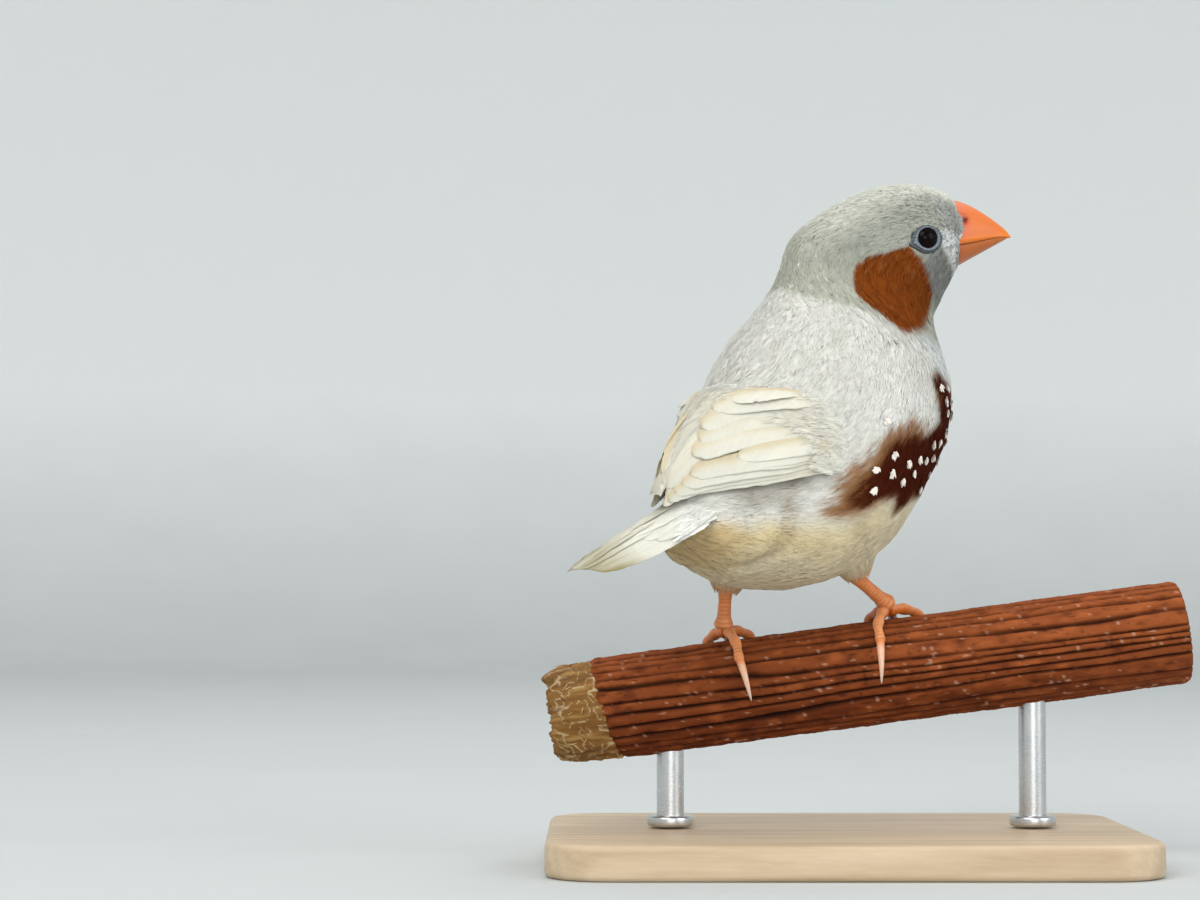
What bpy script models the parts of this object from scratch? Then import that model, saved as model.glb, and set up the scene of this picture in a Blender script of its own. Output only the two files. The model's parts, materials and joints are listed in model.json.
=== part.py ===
"""A zebra finch on a cut length of branch, held by a plain display stand.

The bird is a still, life-size model. It looks away to the right, with its head
turned into profile, and grips a tilted perch. Units are metres and +Z is up.
The origin is the middle of the base's underside, +X runs along the perch and
the bird's tail points to -X and -Y.

Sizes in the tables are millimetres. A point on the bird is given by s, the
distance in front of the neck's upright axis, w, the distance to the bird's
right, and z, the height above the floor.
"""

import math
from collections import namedtuple

import bmesh
import bpy
from mathutils import Matrix, Vector
from mathutils.bvhtree import BVHTree

MM = 0.001
GAP = 0.3
WELD = 0.00001
WELD_REACHES = (0.00001, 0.000005, 0.000002, 0.000001, 0.0000001)

# Stance: the neck's axis, the way that the body and the head face
NECK_X = 3.0
NECK_Y = 8.4
BODY_HEADING = 45.0
HEAD_HEADING = 5.0

# Body rings from the rump to the bill: heading, back s, back z, belly s, belly z,
# half width, and how much wider the belly's side is than the back's. The rings
# lean, and turn with the neck.
BODY_RINGS = (
    (45.0, -38.9, 51.0, -38.2, 48.2, 1.8, 0.30),
    (45.0, -38.6, 52.8, -36.6, 45.9, 3.8, 0.40),
    (45.0, -37.6, 55.2, -33.6, 43.6, 6.3, 0.50),
    (45.0, -36.1, 58.6, -28.4, 41.5, 9.4, 0.50),
    (45.0, -34.2, 62.3, -20.9, 40.1, 12.6, 0.45),
    (45.0, -31.6, 66.0, -12.4, 40.7, 15.3, 0.35),
    (45.0, -28.6, 69.3, -4.7, 43.6, 16.8, 0.22),
    (45.0, -25.8, 72.3, 1.7, 49.0, 17.2, 0.14),
    (45.0, -23.3, 75.2, 7.2, 55.0, 17.0, 0.10),
    (45.0, -20.9, 78.0, 11.4, 61.0, 16.1, 0.10),
    (44.0, -18.2, 80.6, 13.4, 67.0, 14.8, 0.10),
    (36.0, -15.4, 83.0, 12.9, 72.6, 13.2, 0.10),
    (24.0, -12.8, 85.4, 11.8, 77.4, 11.8, 0.10),
    (12.0, -11.2, 88.2, 11.6, 80.6, 10.7, 0.10),
    (6.0, -10.3, 91.2, 12.6, 82.8, 10.0, 0.08),
    (5.0, -8.6, 93.6, 13.3, 84.4, 9.6, 0.06),
    (5.0, -5.4, 96.1, 13.9, 85.4, 9.4, 0.05),
    (5.0, -1.4, 98.5, 14.3, 86.2, 9.2, 0.05),
    (5.0, 2.8, 100.1, 14.6, 86.8, 8.9, 0.05),
    (5.0, 6.8, 100.8, 14.9, 87.3, 8.3, 0.05),
    (5.0, 10.2, 100.6, 15.1, 87.7, 7.4, 0.05),
    (5.0, 13.0, 99.8, 15.3, 88.0, 6.1, 0.04),
    (5.0, 15.0, 98.7, 15.4, 88.3, 4.6, 0.0),
)
BODY_SIDES = 28
NECK_START = 11.5
HEAD_START = 14.5
RING_STEP = 0.5

# Bill: stations along the head's heading, measured from the neck's axis
BILL_BASE = 15.7
BILL_TIP = 23.75
LOWER_BILL_TIP = 23.1
CULMEN_BASE_Z = 98.3
CULMEN_BULGE = 0.9
MOUTH_BASE_Z = 91.8
MOUTH_TIP_Z = 93.2
CHIN_BASE_Z = 88.5
BILL_HALF_WIDTH = 3.9
BILL_TIP_HALF_WIDTH = 0.3
BILL_TAPER = 0.85
BILL_LEAST_HEIGHT = 0.35
LOWER_BILL_WIDTH = 0.93
BILL_STATIONS = 8
BILL_SIDES = 14
NOSTRIL_S = 17.1
NOSTRIL_Z = 95.1
NOSTRIL_SIZE = (0.75, 0.45, 0.3)

# Eyes: the ball shows a disc of the photo's size inside a raised ring of lids
EYE_S = 9.5
EYE_Z = 91.6
EYE_RADIUS = 2.1
EYE_SUNK = 1.45
LID_RADIUS = 2.0
LID_THICKNESS = 0.42

# Wings: rows from the shoulder to the tips, each from the back's ridge down to
# the lower edge, as s and z, with the width where the body no longer carries it
WING_ROWS = (
    ((-28.0, 69.8, 0.6), (-21.5, 68.3, 6.0), (-18.2, 64.2, 14.0), (-17.8, 60.0, 16.0), (-19.2, 56.4, 15.0)),
    ((-31.5, 68.0, 0.6), (-26.0, 66.4, 6.0), (-24.0, 62.8, 13.0), (-24.0, 59.0, 14.5), (-25.0, 55.8, 14.0)),
    ((-34.6, 66.0, 0.6), (-31.0, 64.6, 4.6), (-29.6, 61.4, 9.4), (-29.6, 58.0, 11.6), (-30.0, 55.2, 11.4)),
    ((-37.2, 63.4, 0.6), (-35.2, 62.0, 3.2), (-34.0, 59.4, 6.0), (-34.0, 56.6, 7.4), (-34.2, 54.5, 7.2)),
    ((-39.5, 60.4, 0.6), (-38.4, 59.0, 1.8), (-37.6, 57.2, 3.0), (-37.4, 55.2, 3.7), (-37.4, 53.9, 3.7)),
    ((-41.4, 56.8, 0.6), (-41.0, 55.8, 0.9), (-40.6, 54.8, 1.3), (-40.4, 53.7, 1.6), (-40.4, 52.9, 1.7)),
    ((-43.2, 52.8, 0.6), (-43.1, 52.4, 0.8), (-43.0, 52.0, 1.0), (-42.9, 51.6, 1.2), (-42.9, 51.2, 1.3)),
)
WING_COVER = 1.5
WING_CORE_END = 0.74
WING_ROOT_DEPTH = 5.0
WING_THIN_FROM = 0.55
WING_EDGE_DEPTH = 1.0
WING_CORE_ROWS = 9
WING_CORE_COLUMNS = 6

# Tail: rows from the root to the tip, as s, the ridge's z, the edge's z and half width
TAIL_ROWS = (
    (-35.0, 54.0, 50.7, 5.0),
    (-42.0, 50.4, 47.4, 5.2),
    (-50.0, 46.8, 44.2, 5.0),
    (-55.0, 44.3, 42.6, 4.4),
    (-58.9, 42.2, 41.5, 2.8),
)
TAIL_SHOULDER = 0.62
TAIL_CORE_END = 0.7
TAIL_CORE_ROWS = 5
TAIL_CORE_COLUMNS = 6
TAIL_CORE_EDGE = 0.1
TAIL_ROOT_DEPTH = 2.6
TAIL_END_DEPTH = 0.9

# Feathers in tiers on a wing's or the tail's sheet. A tier says how many there are,
# then, for its first and last feather, where along and across the sheet the roots
# and the tips lie and how wide a feather is, and how far the tips stand proud.
Tier = namedtuple("Tier", "count root_u tip_u root_v tip_v half_width lift steps")
WING_TIERS = (
    Tier(5, (0.46, 0.44), (0.93, 1.0), (0.66, 0.93), (0.30, 0.86), (1.2, 1.0), 0.15, 4),
    Tier(5, (0.36, 0.36), (0.78, 0.87), (0.34, 0.74), (0.30, 0.52), (1.6, 1.5), 0.30, 4),
    Tier(3, (0.30, 0.30), (0.80, 0.66), (0.26, 0.10), (0.30, 0.12), (2.0, 2.2), 0.50, 4),
    Tier(7, (0.17, 0.20), (0.44, 0.44), (0.94, 0.18), (0.93, 0.20), (1.7, 1.9), 0.50, 3),
    Tier(6, (0.02, 0.05), (0.24, 0.26), (0.92, 0.20), (0.92, 0.22), (1.8, 1.9), 0.55, 3),
)
TAIL_TIERS = (
    Tier(5, (0.16, 0.16), (0.90, 0.975), (0.10, 0.44), (0.14, 0.44), (1.5, 1.8), 0.25, 4),
    Tier(5, (0.16, 0.16), (0.90, 0.965), (0.90, 0.56), (0.86, 0.56), (1.5, 1.8), 0.25, 4),
    Tier(5, (0.02, 0.02), (0.33, 0.33), (0.10, 0.90), (0.14, 0.86), (1.9, 1.9), 0.45, 3),
)
VANE_THICKNESS = 0.6
VANE_ROOT_SUNK = 0.47
VANE_TILT = 0.22
VANE_WIDTHS = (0.65, 0.95, 1.0, 0.86, 0.36)

# Perch: a tilted round branch, with the bark gone from its left end
PERCH_RADIUS = 7.5
PERCH_LEFT = -42.2
PERCH_RIGHT = 50.0
PERCH_Z = 26.97
PERCH_TILT = 7.55
BARE_LENGTH = 7.0
BARE_RADIUS = 7.3
BARK_DEPTH = 0.35
BARK_RIDGES = 11
PERCH_SIDES = 44
PERCH_STATIONS = 7

# Legs: the place of each foot along the perch, the hip, the feather cuff where the
# bare shank starts, and how far each toe spreads along the perch
FEET = {
    "left": {
        "foot_x": -15.9, "hip": (-20.6, -6.2, 45.5), "cuff": (-21.3, -6.9, 39.2),
        "splays": {"hind": 1.3, "inner": 3.9, "middle": 0.9, "outer": -2.6}, "claw_drift": 0.9,
    },
    "right": {
        "foot_x": 8.3, "hip": (-11.8, 8.2, 47.0), "cuff": (-9.2, 8.2, 41.4),
        "splays": {"hind": -2.5, "inner": -2.8, "middle": 1.0, "outer": 4.8}, "claw_drift": -0.8,
    },
}
SHANK_RADIUS = 1.12
CUFF_RADIUS = 1.75
CUFF_DEPTH = 0.5
THIGH_RADIUS = 4.6
TOE_RADIUS = 0.95
TOE_LENGTHS = {"hind": 9.6, "inner": 7.6, "middle": 10.6, "outer": 8.2}
CLAW_LENGTH = 6.2
CLAW_TIP_RADIUS = 0.14
TOE_REST = PERCH_RADIUS + GAP + TOE_RADIUS + 0.05
TOE_OVERLAP = 4.0
TOE_STEPS = 6
CLAW_STEPS = 4

# Display stand
BASE_LENGTH = 86.0
BASE_DEPTH = 64.0
BASE_HEIGHT = 5.0
BASE_CORNER = 9.0
BASE_BEVEL = 0.8
ROD_RADIUS = 2.0
ROD_PLACES = (-25.0, 28.0)
ROD_COLLAR_HEIGHT = 1.6
ROD_COLLAR_RADIUS = 3.4

# Colours, roughness and metallic value of each kind of surface
FINISHES = {
    "pale_plumage": ((0.80, 0.76, 0.68), 0.85, 0.0),
    "grey_plumage": ((0.60, 0.59, 0.56), 0.85, 0.0),
    "wing_feather": ((0.82, 0.77, 0.66), 0.75, 0.0),
    "orange_horn": ((0.83, 0.16, 0.04), 0.35, 0.0),
    "dark_eye": ((0.01, 0.008, 0.008), 0.08, 0.0),
    "orange_skin": ((0.80, 0.28, 0.15), 0.55, 0.0),
    "red_bark": ((0.22, 0.075, 0.04), 0.85, 0.0),
    "bare_wood": ((0.52, 0.33, 0.15), 0.85, 0.0),
    "stand_wood": ((0.60, 0.47, 0.33), 0.5, 0.0),
    "stand_steel": ((0.62, 0.62, 0.62), 0.3, 1.0),
}


def clear_scene():
    """Remove every object that the file opened with."""
    for item in list(bpy.data.objects):
        bpy.data.objects.remove(item, do_unlink=True)


def collection(name):
    """Make a collection under the scene's own."""
    made = bpy.data.collections.new(name)
    bpy.context.scene.collection.children.link(made)
    return made


def finish(name):
    """Return the material of a kind of surface."""
    made = bpy.data.materials.get(name)
    if made:
        return made
    colour, roughness, metallic = FINISHES[name]
    made = bpy.data.materials.new(name)
    made.use_nodes = True
    shader = made.node_tree.nodes["Principled BSDF"]
    shader.inputs["Base Color"].default_value = (*colour, 1.0)
    shader.inputs["Roughness"].default_value = roughness
    shader.inputs["Metallic"].default_value = metallic
    return made


def bird_point(s, w, z, heading=BODY_HEADING):
    """Turn a place on the bird into a world point in metres."""
    turn = math.radians(heading)
    x = NECK_X + s * math.cos(turn) + w * math.sin(turn)
    y = NECK_Y + s * math.sin(turn) - w * math.cos(turn)
    return Vector((x, y, z)) * MM


def smooth(values, t):
    """Read a smooth curve through values at t, which runs from 0 to 1."""
    last = len(values) - 1
    place = min(max(t, 0.0), 1.0) * last
    i = min(int(place), last - 1)
    f = place - i
    b, c = values[i], values[i + 1]
    a = values[i - 1] if i > 0 else b * 2.0 - c
    d = values[i + 2] if i + 2 <= last else c * 2.0 - b
    bend = (a * 2.0 - b * 5.0 + c * 4.0 - d) * (f * f)
    twist = (b * 3.0 - a - c * 3.0 + d) * (f * f * f)
    return (b * 2.0 + (c - a) * f + bend + twist) * 0.5


def mesh_object(name, points, faces, group, material):
    """Make an object from points and faces."""
    mesh = bpy.data.meshes.new(name)
    mesh.from_pydata([tuple(p) for p in points], [], faces)
    mesh.materials.append(finish(material))
    made = bpy.data.objects.new(name, mesh)
    group.objects.link(made)
    tidy(made)
    return made


def tidy(made):
    """Weld doubles, triangulate and point the faces outwards."""
    work = bmesh.new()
    work.from_mesh(made.data)
    bmesh.ops.remove_doubles(work, verts=work.verts, dist=WELD)
    bmesh.ops.triangulate(work, faces=work.faces)
    bmesh.ops.recalc_face_normals(work, faces=work.faces)
    work.to_mesh(made.data)
    work.free()


def loft(name, rings, group, material):
    """Join rings of like point counts into one closed body with flat ends."""
    count = len(rings[0])
    points = [point for ring in rings for point in ring]
    faces = []
    for r in range(len(rings) - 1):
        for i in range(count):
            j = (i + 1) % count
            faces.append((r * count + i, r * count + j, (r + 1) * count + j, (r + 1) * count + i))
    for end in (0, len(rings) - 1):
        middle = len(points)
        points.append(sum(rings[end], Vector()) / count)
        for i in range(count):
            faces.append((end * count + i, end * count + (i + 1) % count, middle))
    return mesh_object(name, points, faces, group, material)


def shell(name, outer, inner, group, material):
    """Close the space between two grids of points of like size."""
    rows, columns = len(outer), len(outer[0])
    points = [p for row in outer for p in row] + [p for row in inner for p in row]
    under = rows * columns
    faces = []
    for r in range(rows - 1):
        for c in range(columns - 1):
            a = r * columns + c
            b, d, e = a + 1, a + columns, a + columns + 1
            faces.append((a, b, e))
            faces.append((a, e, d))
            faces.append((under + a, under + e, under + b))
            faces.append((under + a, under + d, under + e))
    rim = [(0, c) for c in range(columns)]
    rim += [(r, columns - 1) for r in range(1, rows)]
    rim += [(rows - 1, c) for c in range(columns - 2, -1, -1)]
    rim += [(r, 0) for r in range(rows - 2, 0, -1)]
    for k, (r, c) in enumerate(rim):
        r2, c2 = rim[(k + 1) % len(rim)]
        a, b = r * columns + c, r2 * columns + c2
        faces.append((b, a, under + a, under + b))
    return mesh_object(name, points, faces, group, material)


def tube(name, route, radii, group, material):
    """Sweep a round section of changing radius along a route in metres."""
    curve = bpy.data.curves.new(name, "CURVE")
    curve.dimensions = "3D"
    curve.bevel_depth = MM
    curve.bevel_resolution = 2
    curve.use_fill_caps = True
    spline = curve.splines.new("POLY")
    spline.points.add(len(route) - 1)
    for point, place, radius in zip(spline.points, route, radii):
        point.co = (*place, 1.0)
        point.radius = radius
    guide = bpy.data.objects.new(name + "_route", curve)
    group.objects.link(guide)
    bpy.context.view_layer.update()
    graph = bpy.context.evaluated_depsgraph_get()
    mesh = bpy.data.meshes.new_from_object(guide.evaluated_get(graph))
    made = bpy.data.objects.new(name, mesh)
    made.matrix_world = guide.matrix_world
    group.objects.link(made)
    bpy.data.objects.remove(guide, do_unlink=True)
    mesh.materials.clear()
    mesh.materials.append(finish(material))
    tidy(made)
    return made


def apply_modifiers(made):
    """Replace an object's mesh by its evaluated one."""
    bpy.context.view_layer.update()
    graph = bpy.context.evaluated_depsgraph_get()
    mesh = bpy.data.meshes.new_from_object(made.evaluated_get(graph))
    made.modifiers.clear()
    made.data = mesh


def welded(mesh, reach):
    """Return a mesh's points and faces with doubles and slivers merged."""
    work = bmesh.new()
    work.from_mesh(mesh)
    bmesh.ops.remove_doubles(work, verts=work.verts, dist=reach)
    bmesh.ops.dissolve_degenerate(work, edges=work.edges, dist=reach)
    bmesh.ops.triangulate(work, faces=work.faces)
    return work


def keep_largest(made):
    """Weld an object as far as it stays closed, and keep its largest surface."""
    for reach in WELD_REACHES:
        work = welded(made.data, reach)
        if all(len(edge.link_faces) == 2 for edge in work.edges):
            break
    left = set(work.faces)
    islands = []
    while left:
        stack = [left.pop()]
        island = set(stack)
        while stack:
            face = stack.pop()
            for edge in face.edges:
                for other in edge.link_faces:
                    if other in left:
                        left.discard(other)
                        island.add(other)
                        stack.append(other)
        islands.append(island)
    if len(islands) > 1:
        def size(island):
            return sum(f.calc_area() for f in island)
        largest = max(islands, key=size)
        spare = [f for island in islands if island is not largest for f in island]
        bmesh.ops.delete(work, geom=spare, context="FACES")
    work.to_mesh(made.data)
    work.free()


def combine(made, others, solver="EXACT"):
    """Fuse closed meshes into an object with one Boolean union."""
    group = collection(made.name + "_pieces")
    for other in others:
        for user in list(other.users_collection):
            user.objects.unlink(other)
        group.objects.link(other)
    union = made.modifiers.new("union", "BOOLEAN")
    union.operation = "UNION"
    union.operand_type = "COLLECTION"
    union.collection = group
    union.solver = solver
    apply_modifiers(made)
    for other in others:
        bpy.data.objects.remove(other, do_unlink=True)
    bpy.data.collections.remove(group)
    keep_largest(made)


def cut(made, cutter, solver="EXACT"):
    """Take a cutter's space out of an object and remove the cutter."""
    difference = made.modifiers.new("cut", "BOOLEAN")
    difference.operation = "DIFFERENCE"
    difference.object = cutter
    difference.solver = solver
    apply_modifiers(made)
    bpy.data.objects.remove(cutter, do_unlink=True)
    keep_largest(made)


def grown(made, group, gap=GAP):
    """Copy an object with its surface moved out by a little more than a gap."""
    mesh = made.data.copy()
    work = bmesh.new()
    work.from_mesh(mesh)
    work.normal_update()
    for point in work.verts:
        point.co += point.normal * (gap * 1.15 * MM)
    work.to_mesh(mesh)
    work.free()
    copy = bpy.data.objects.new(made.name + "_grown", mesh)
    copy.matrix_world = made.matrix_world
    copy.hide_render = True
    copy.display_type = "WIRE"
    group.objects.link(copy)
    return copy


def body_ring(place):
    """Return the body's cross-section at a place among the rings, as points."""
    t = place / (len(BODY_RINGS) - 1)
    row = [smooth(column, t) for column in zip(*BODY_RINGS)]
    heading, back_s, back_z, belly_s, belly_z, half, fullness = row
    back = bird_point(back_s, 0.0, back_z, heading)
    belly = bird_point(belly_s, 0.0, belly_z, heading)
    side = (bird_point(0.0, 1.0, 0.0, heading) - bird_point(0.0, 0.0, 0.0, heading)) * half
    middle = (back + belly) / 2
    up = (back - belly) / 2
    ring = []
    for i in range(BODY_SIDES):
        turn = 2 * math.pi * i / BODY_SIDES
        width = math.sin(turn) * (1.0 - fullness * math.cos(turn))
        ring.append(middle + up * math.cos(turn) + side * width)
    return ring


def ring_normal(ring):
    """Return the way that a ring's plane faces, towards the head."""
    quarter = len(ring) // 4
    up = ring[0] - ring[2 * quarter]
    side = ring[quarter] - ring[3 * quarter]
    return up.cross(side).normalized()


def flesh(name, first, last, group, material):
    """Make the length of the body between two places among the rings."""
    steps = max(2, round((last - first) / RING_STEP))
    rings = [body_ring(first + (last - first) * k / steps) for k in range(steps + 1)]
    if first > 0:
        shift = ring_normal(rings[0]) * (GAP * MM)
        rings[0] = [point + shift for point in rings[0]]
    return loft(name, rings, group, material)


def tree_of(made):
    """Return a search tree of an object's mesh."""
    work = bmesh.new()
    work.from_mesh(made.data)
    tree = BVHTree.FromBMesh(work)
    work.free()
    return tree


def head_point(s, w, z):
    """Turn a place on the head into a world point in metres."""
    return bird_point(s, w, z, HEAD_HEADING)


def side_hit(tree, s, z, side, heading):
    """Return the surface's point and normal where a ray from one side meets it."""
    start = bird_point(s, 60.0 * side, z, heading)
    way = (bird_point(s, 0.0, z, heading) - start).normalized()
    hit = tree.ray_cast(start, way, 59.0 * MM)
    return hit[0], hit[1]


def eye_parts(head, side, name, group):
    """Raise a ring of lids on the head, hollow the socket and make the eyeball."""
    place, normal = side_hit(tree_of(head), EYE_S, EYE_Z, side, HEAD_HEADING)
    centre = place - normal * (EYE_SUNK * MM)
    turn = normal.to_track_quat("Z", "Y").to_matrix().to_4x4()
    bpy.ops.mesh.primitive_torus_add(
        major_segments=20, minor_segments=6,
        major_radius=LID_RADIUS * MM, minor_radius=LID_THICKNESS * MM)
    lids = bpy.context.object
    lids.data.transform(Matrix.Translation(place) @ turn)
    combine(head, [lids])
    bpy.ops.mesh.primitive_uv_sphere_add(
        segments=20, ring_count=10, radius=(EYE_RADIUS + GAP) * MM)
    socket = bpy.context.object
    socket.data.transform(Matrix.Translation(centre) @ turn)
    cut(head, socket)
    bpy.ops.mesh.primitive_uv_sphere_add(segments=18, ring_count=10, radius=EYE_RADIUS * MM)
    eye = bpy.context.object
    eye.data.transform(Matrix.Translation(centre) @ turn)
    eye.name = name
    eye.data.materials.append(finish("dark_eye"))
    move_to(eye, group)


def move_to(made, group):
    """Link an object to one collection only."""
    for user in list(made.users_collection):
        user.objects.unlink(made)
    group.objects.link(made)


def bill_ring(s, low, high, half, upward):
    """Return a half-round section of the bill, flat on the mouth's line."""
    ring = []
    for i in range(BILL_SIDES):
        turn = math.pi * i / (BILL_SIDES - 1)
        w = half * math.cos(turn)
        rise = abs(math.sin(turn)) ** 0.9
        z = low + (high - low) * rise if upward else high - (high - low) * rise
        ring.append(head_point(s, w, z))
    return ring


def bill(name, tip, upward, group):
    """Make one half of the bill from its base to its tip."""
    rings = []
    for k in range(BILL_STATIONS + 1):
        t = 1.0 - (1.0 - k / BILL_STATIONS) ** 1.5
        s = BILL_BASE + (tip - BILL_BASE) * t
        reach = (s - BILL_BASE) / (BILL_TIP - BILL_BASE)
        mouth = MOUTH_BASE_Z + (MOUTH_TIP_Z - MOUTH_BASE_Z) * reach
        taper = max(0.0, 1.0 - reach) ** BILL_TAPER
        half = BILL_TIP_HALF_WIDTH + (BILL_HALF_WIDTH - BILL_TIP_HALF_WIDTH) * taper
        if upward:
            bulge = CULMEN_BULGE * 4 * reach * (1.0 - reach)
            top = CULMEN_BASE_Z + (MOUTH_TIP_Z - CULMEN_BASE_Z) * reach + bulge
            low = mouth + GAP / 2
            rings.append(bill_ring(s, low, max(top, low + BILL_LEAST_HEIGHT), half, True))
        else:
            chin = CHIN_BASE_Z + (MOUTH_TIP_Z - CHIN_BASE_Z) * reach
            high = mouth - GAP / 2
            low = min(chin, high - BILL_LEAST_HEIGHT)
            rings.append(bill_ring(s, low, high, half * LOWER_BILL_WIDTH, False))
    return loft(name, rings, group, "orange_horn")


def nostrils(upper, group):
    """Sink a small oval opening into each side of the upper bill."""
    for side in (-1, 1):
        place, normal = side_hit(tree_of(upper), NOSTRIL_S, NOSTRIL_Z, side, HEAD_HEADING)
        bpy.ops.mesh.primitive_uv_sphere_add(segments=10, ring_count=6, radius=MM)
        pit = bpy.context.object
        turn = normal.to_track_quat("Z", "X").to_matrix().to_4x4()
        size = Matrix.Diagonal((NOSTRIL_SIZE[0], NOSTRIL_SIZE[1], NOSTRIL_SIZE[2], 1.0))
        pit.data.transform(Matrix.Translation(place) @ turn @ size)
        cut(upper, pit)


class Sheet:
    """A smooth sheet through rows of points, read by u along and v across."""

    def __init__(self, rows, outward):
        self.rows = rows
        self.outward = outward

    def point(self, u, v):
        """Return the sheet's point."""
        return smooth([smooth(row, v) for row in self.rows], u)

    def normal(self, u, v):
        """Return the way that the sheet faces outwards."""
        step = 0.02
        along = self.point(min(u + step, 1.0), v) - self.point(max(u - step, 0.0), v)
        across = self.point(u, min(v + step, 1.0)) - self.point(u, max(v - step, 0.0))
        return along.cross(across).normalized() * self.outward


def wing_sheet(tree, side):
    """Lay the wing's rows on the body, and free of it behind."""
    rows = []
    for row in WING_ROWS:
        line = []
        for s, z, w in row:
            place, normal = side_hit(tree, s, z, side, BODY_HEADING)
            free = bird_point(s, w * side, z)
            if place is None:
                line.append(free)
                continue
            raised = place + normal * (WING_COVER * MM)
            away = (free - bird_point(s, 0.0, z)).length
            reach = (raised - bird_point(s, 0.0, z)).length
            line.append(raised if reach > away else free)
        rows.append(line)
    return Sheet(rows, side)


def wing_core(name, sheet, group):
    """Make the plain wing, thick where it lies on the body and thin behind."""
    outer, inner = [], []
    for r in range(WING_CORE_ROWS + 1):
        u = WING_CORE_END * r / WING_CORE_ROWS
        thinned = min(1.0, (u / WING_THIN_FROM) ** 1.5)
        depth = WING_ROOT_DEPTH + (WING_EDGE_DEPTH - WING_ROOT_DEPTH) * thinned
        top, low = [], []
        for c in range(WING_CORE_COLUMNS + 1):
            v = c / WING_CORE_COLUMNS
            place, normal = sheet.point(u, v), sheet.normal(u, v)
            top.append(place)
            low.append(place - normal * (depth * MM))
        outer.append(top)
        inner.append(low)
    return shell(name, outer, inner, group, "wing_feather")


def spread(pair, t):
    """Read between a tier's first and last value."""
    return pair[0] + (pair[1] - pair[0]) * t


def vane(sheet, tier, t, tilt, group):
    """Make one feather of a tier, sunk at its root and proud at its tip."""
    root = (spread(tier.root_u, t), spread(tier.root_v, t))
    tip = (spread(tier.tip_u, t), spread(tier.tip_v, t))
    half = spread(tier.half_width, t) * MM
    top, low = [], []
    for k in range(tier.steps + 1):
        f = k / tier.steps
        u, v = spread((root[0], tip[0]), f), spread((root[1], tip[1]), f)
        middle, normal = sheet.point(u, v), sheet.normal(u, v)
        ahead = sheet.point(min(1.0, u + 0.03), v) - sheet.point(u - 0.03, v)
        across = normal.cross(ahead).normalized()
        width = smooth(VANE_WIDTHS, f) * half
        height = (-VANE_ROOT_SUNK + (VANE_ROOT_SUNK + tier.lift) * f ** 0.7) * MM
        row = []
        for side in (-1.0, 1.0):
            row.append(middle + across * (width * side) + normal * (height + tilt * side * MM))
        top.append(row)
        low.append([point - normal * (VANE_THICKNESS * MM) for point in row])
    return shell("vane", top, low, group, "wing_feather")


def feathers(made, sheet, tiers, sides, group):
    """Fuse every tier of feathers to the piece that they grow from."""
    vanes = []
    for tier, side in zip(tiers, sides):
        for k in range(tier.count):
            vanes.append(vane(sheet, tier, k / (tier.count - 1), VANE_TILT * side, group))
    combine(made, vanes)


def back_line(cutters):
    """Make the thin upright slab that parts the two wings along the back."""
    bpy.ops.mesh.primitive_cube_add(size=1.0)
    slab = bpy.context.object
    size = Matrix.Diagonal((BASE_LENGTH * MM, 2 * GAP * MM, 2 * BASE_LENGTH * MM, 1.0))
    turn = Matrix.Rotation(math.radians(BODY_HEADING), 4, "Z")
    slab.data.transform(Matrix.Translation(bird_point(-35.0, 0.0, 60.0)) @ turn @ size)
    slab.hide_render = True
    slab.display_type = "WIRE"
    move_to(slab, cutters)
    return slab


def tail_sheet():
    """Lay the tail's rows, a low roof from edge to edge."""
    rows = []
    for s, ridge, edge, half in TAIL_ROWS:
        middle = edge + (ridge - edge) * TAIL_SHOULDER
        across = ((-half, edge), (-half * 0.5, middle), (0.0, ridge), (half * 0.5, middle), (half, edge))
        rows.append([bird_point(s, w, z) for w, z in across])
    return Sheet(rows, 1.0)


def tail_core(name, sheet, group):
    """Make the tail's root and the stem that its feathers lie on."""
    outer, inner = [], []
    for r in range(TAIL_CORE_ROWS + 1):
        t = r / TAIL_CORE_ROWS
        u = TAIL_CORE_END * t
        depth = TAIL_ROOT_DEPTH + (TAIL_END_DEPTH - TAIL_ROOT_DEPTH) * t ** 0.7
        top, low = [], []
        for c in range(TAIL_CORE_COLUMNS + 1):
            v = TAIL_CORE_EDGE + (1.0 - 2 * TAIL_CORE_EDGE) * c / TAIL_CORE_COLUMNS
            top.append(sheet.point(u, v))
            low.append(sheet.point(u, v) - Vector((0, 0, depth * MM)))
        outer.append(top)
        inner.append(low)
    return shell(name, outer, inner, group, "wing_feather")


def perch_height(x):
    """Return the height of the perch's axis above the floor."""
    return PERCH_Z + math.tan(math.radians(PERCH_TILT)) * x


def perch_frame():
    """Return the perch's way, and the ways up and towards the viewer across it."""
    tilt = math.radians(PERCH_TILT)
    along = Vector((math.cos(tilt), 0.0, math.sin(tilt)))
    up = Vector((-math.sin(tilt), 0.0, math.cos(tilt)))
    return along, up, Vector((0.0, -1.0, 0.0))


def perch_point(x, turn, radius):
    """Return a point round the perch, turned in degrees from its top to the viewer."""
    along, up, near = perch_frame()
    angle = math.radians(turn)
    centre = Vector((x, 0.0, perch_height(x)))
    return (centre + up * (radius * math.cos(angle)) + near * (radius * math.sin(angle))) * MM


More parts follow.
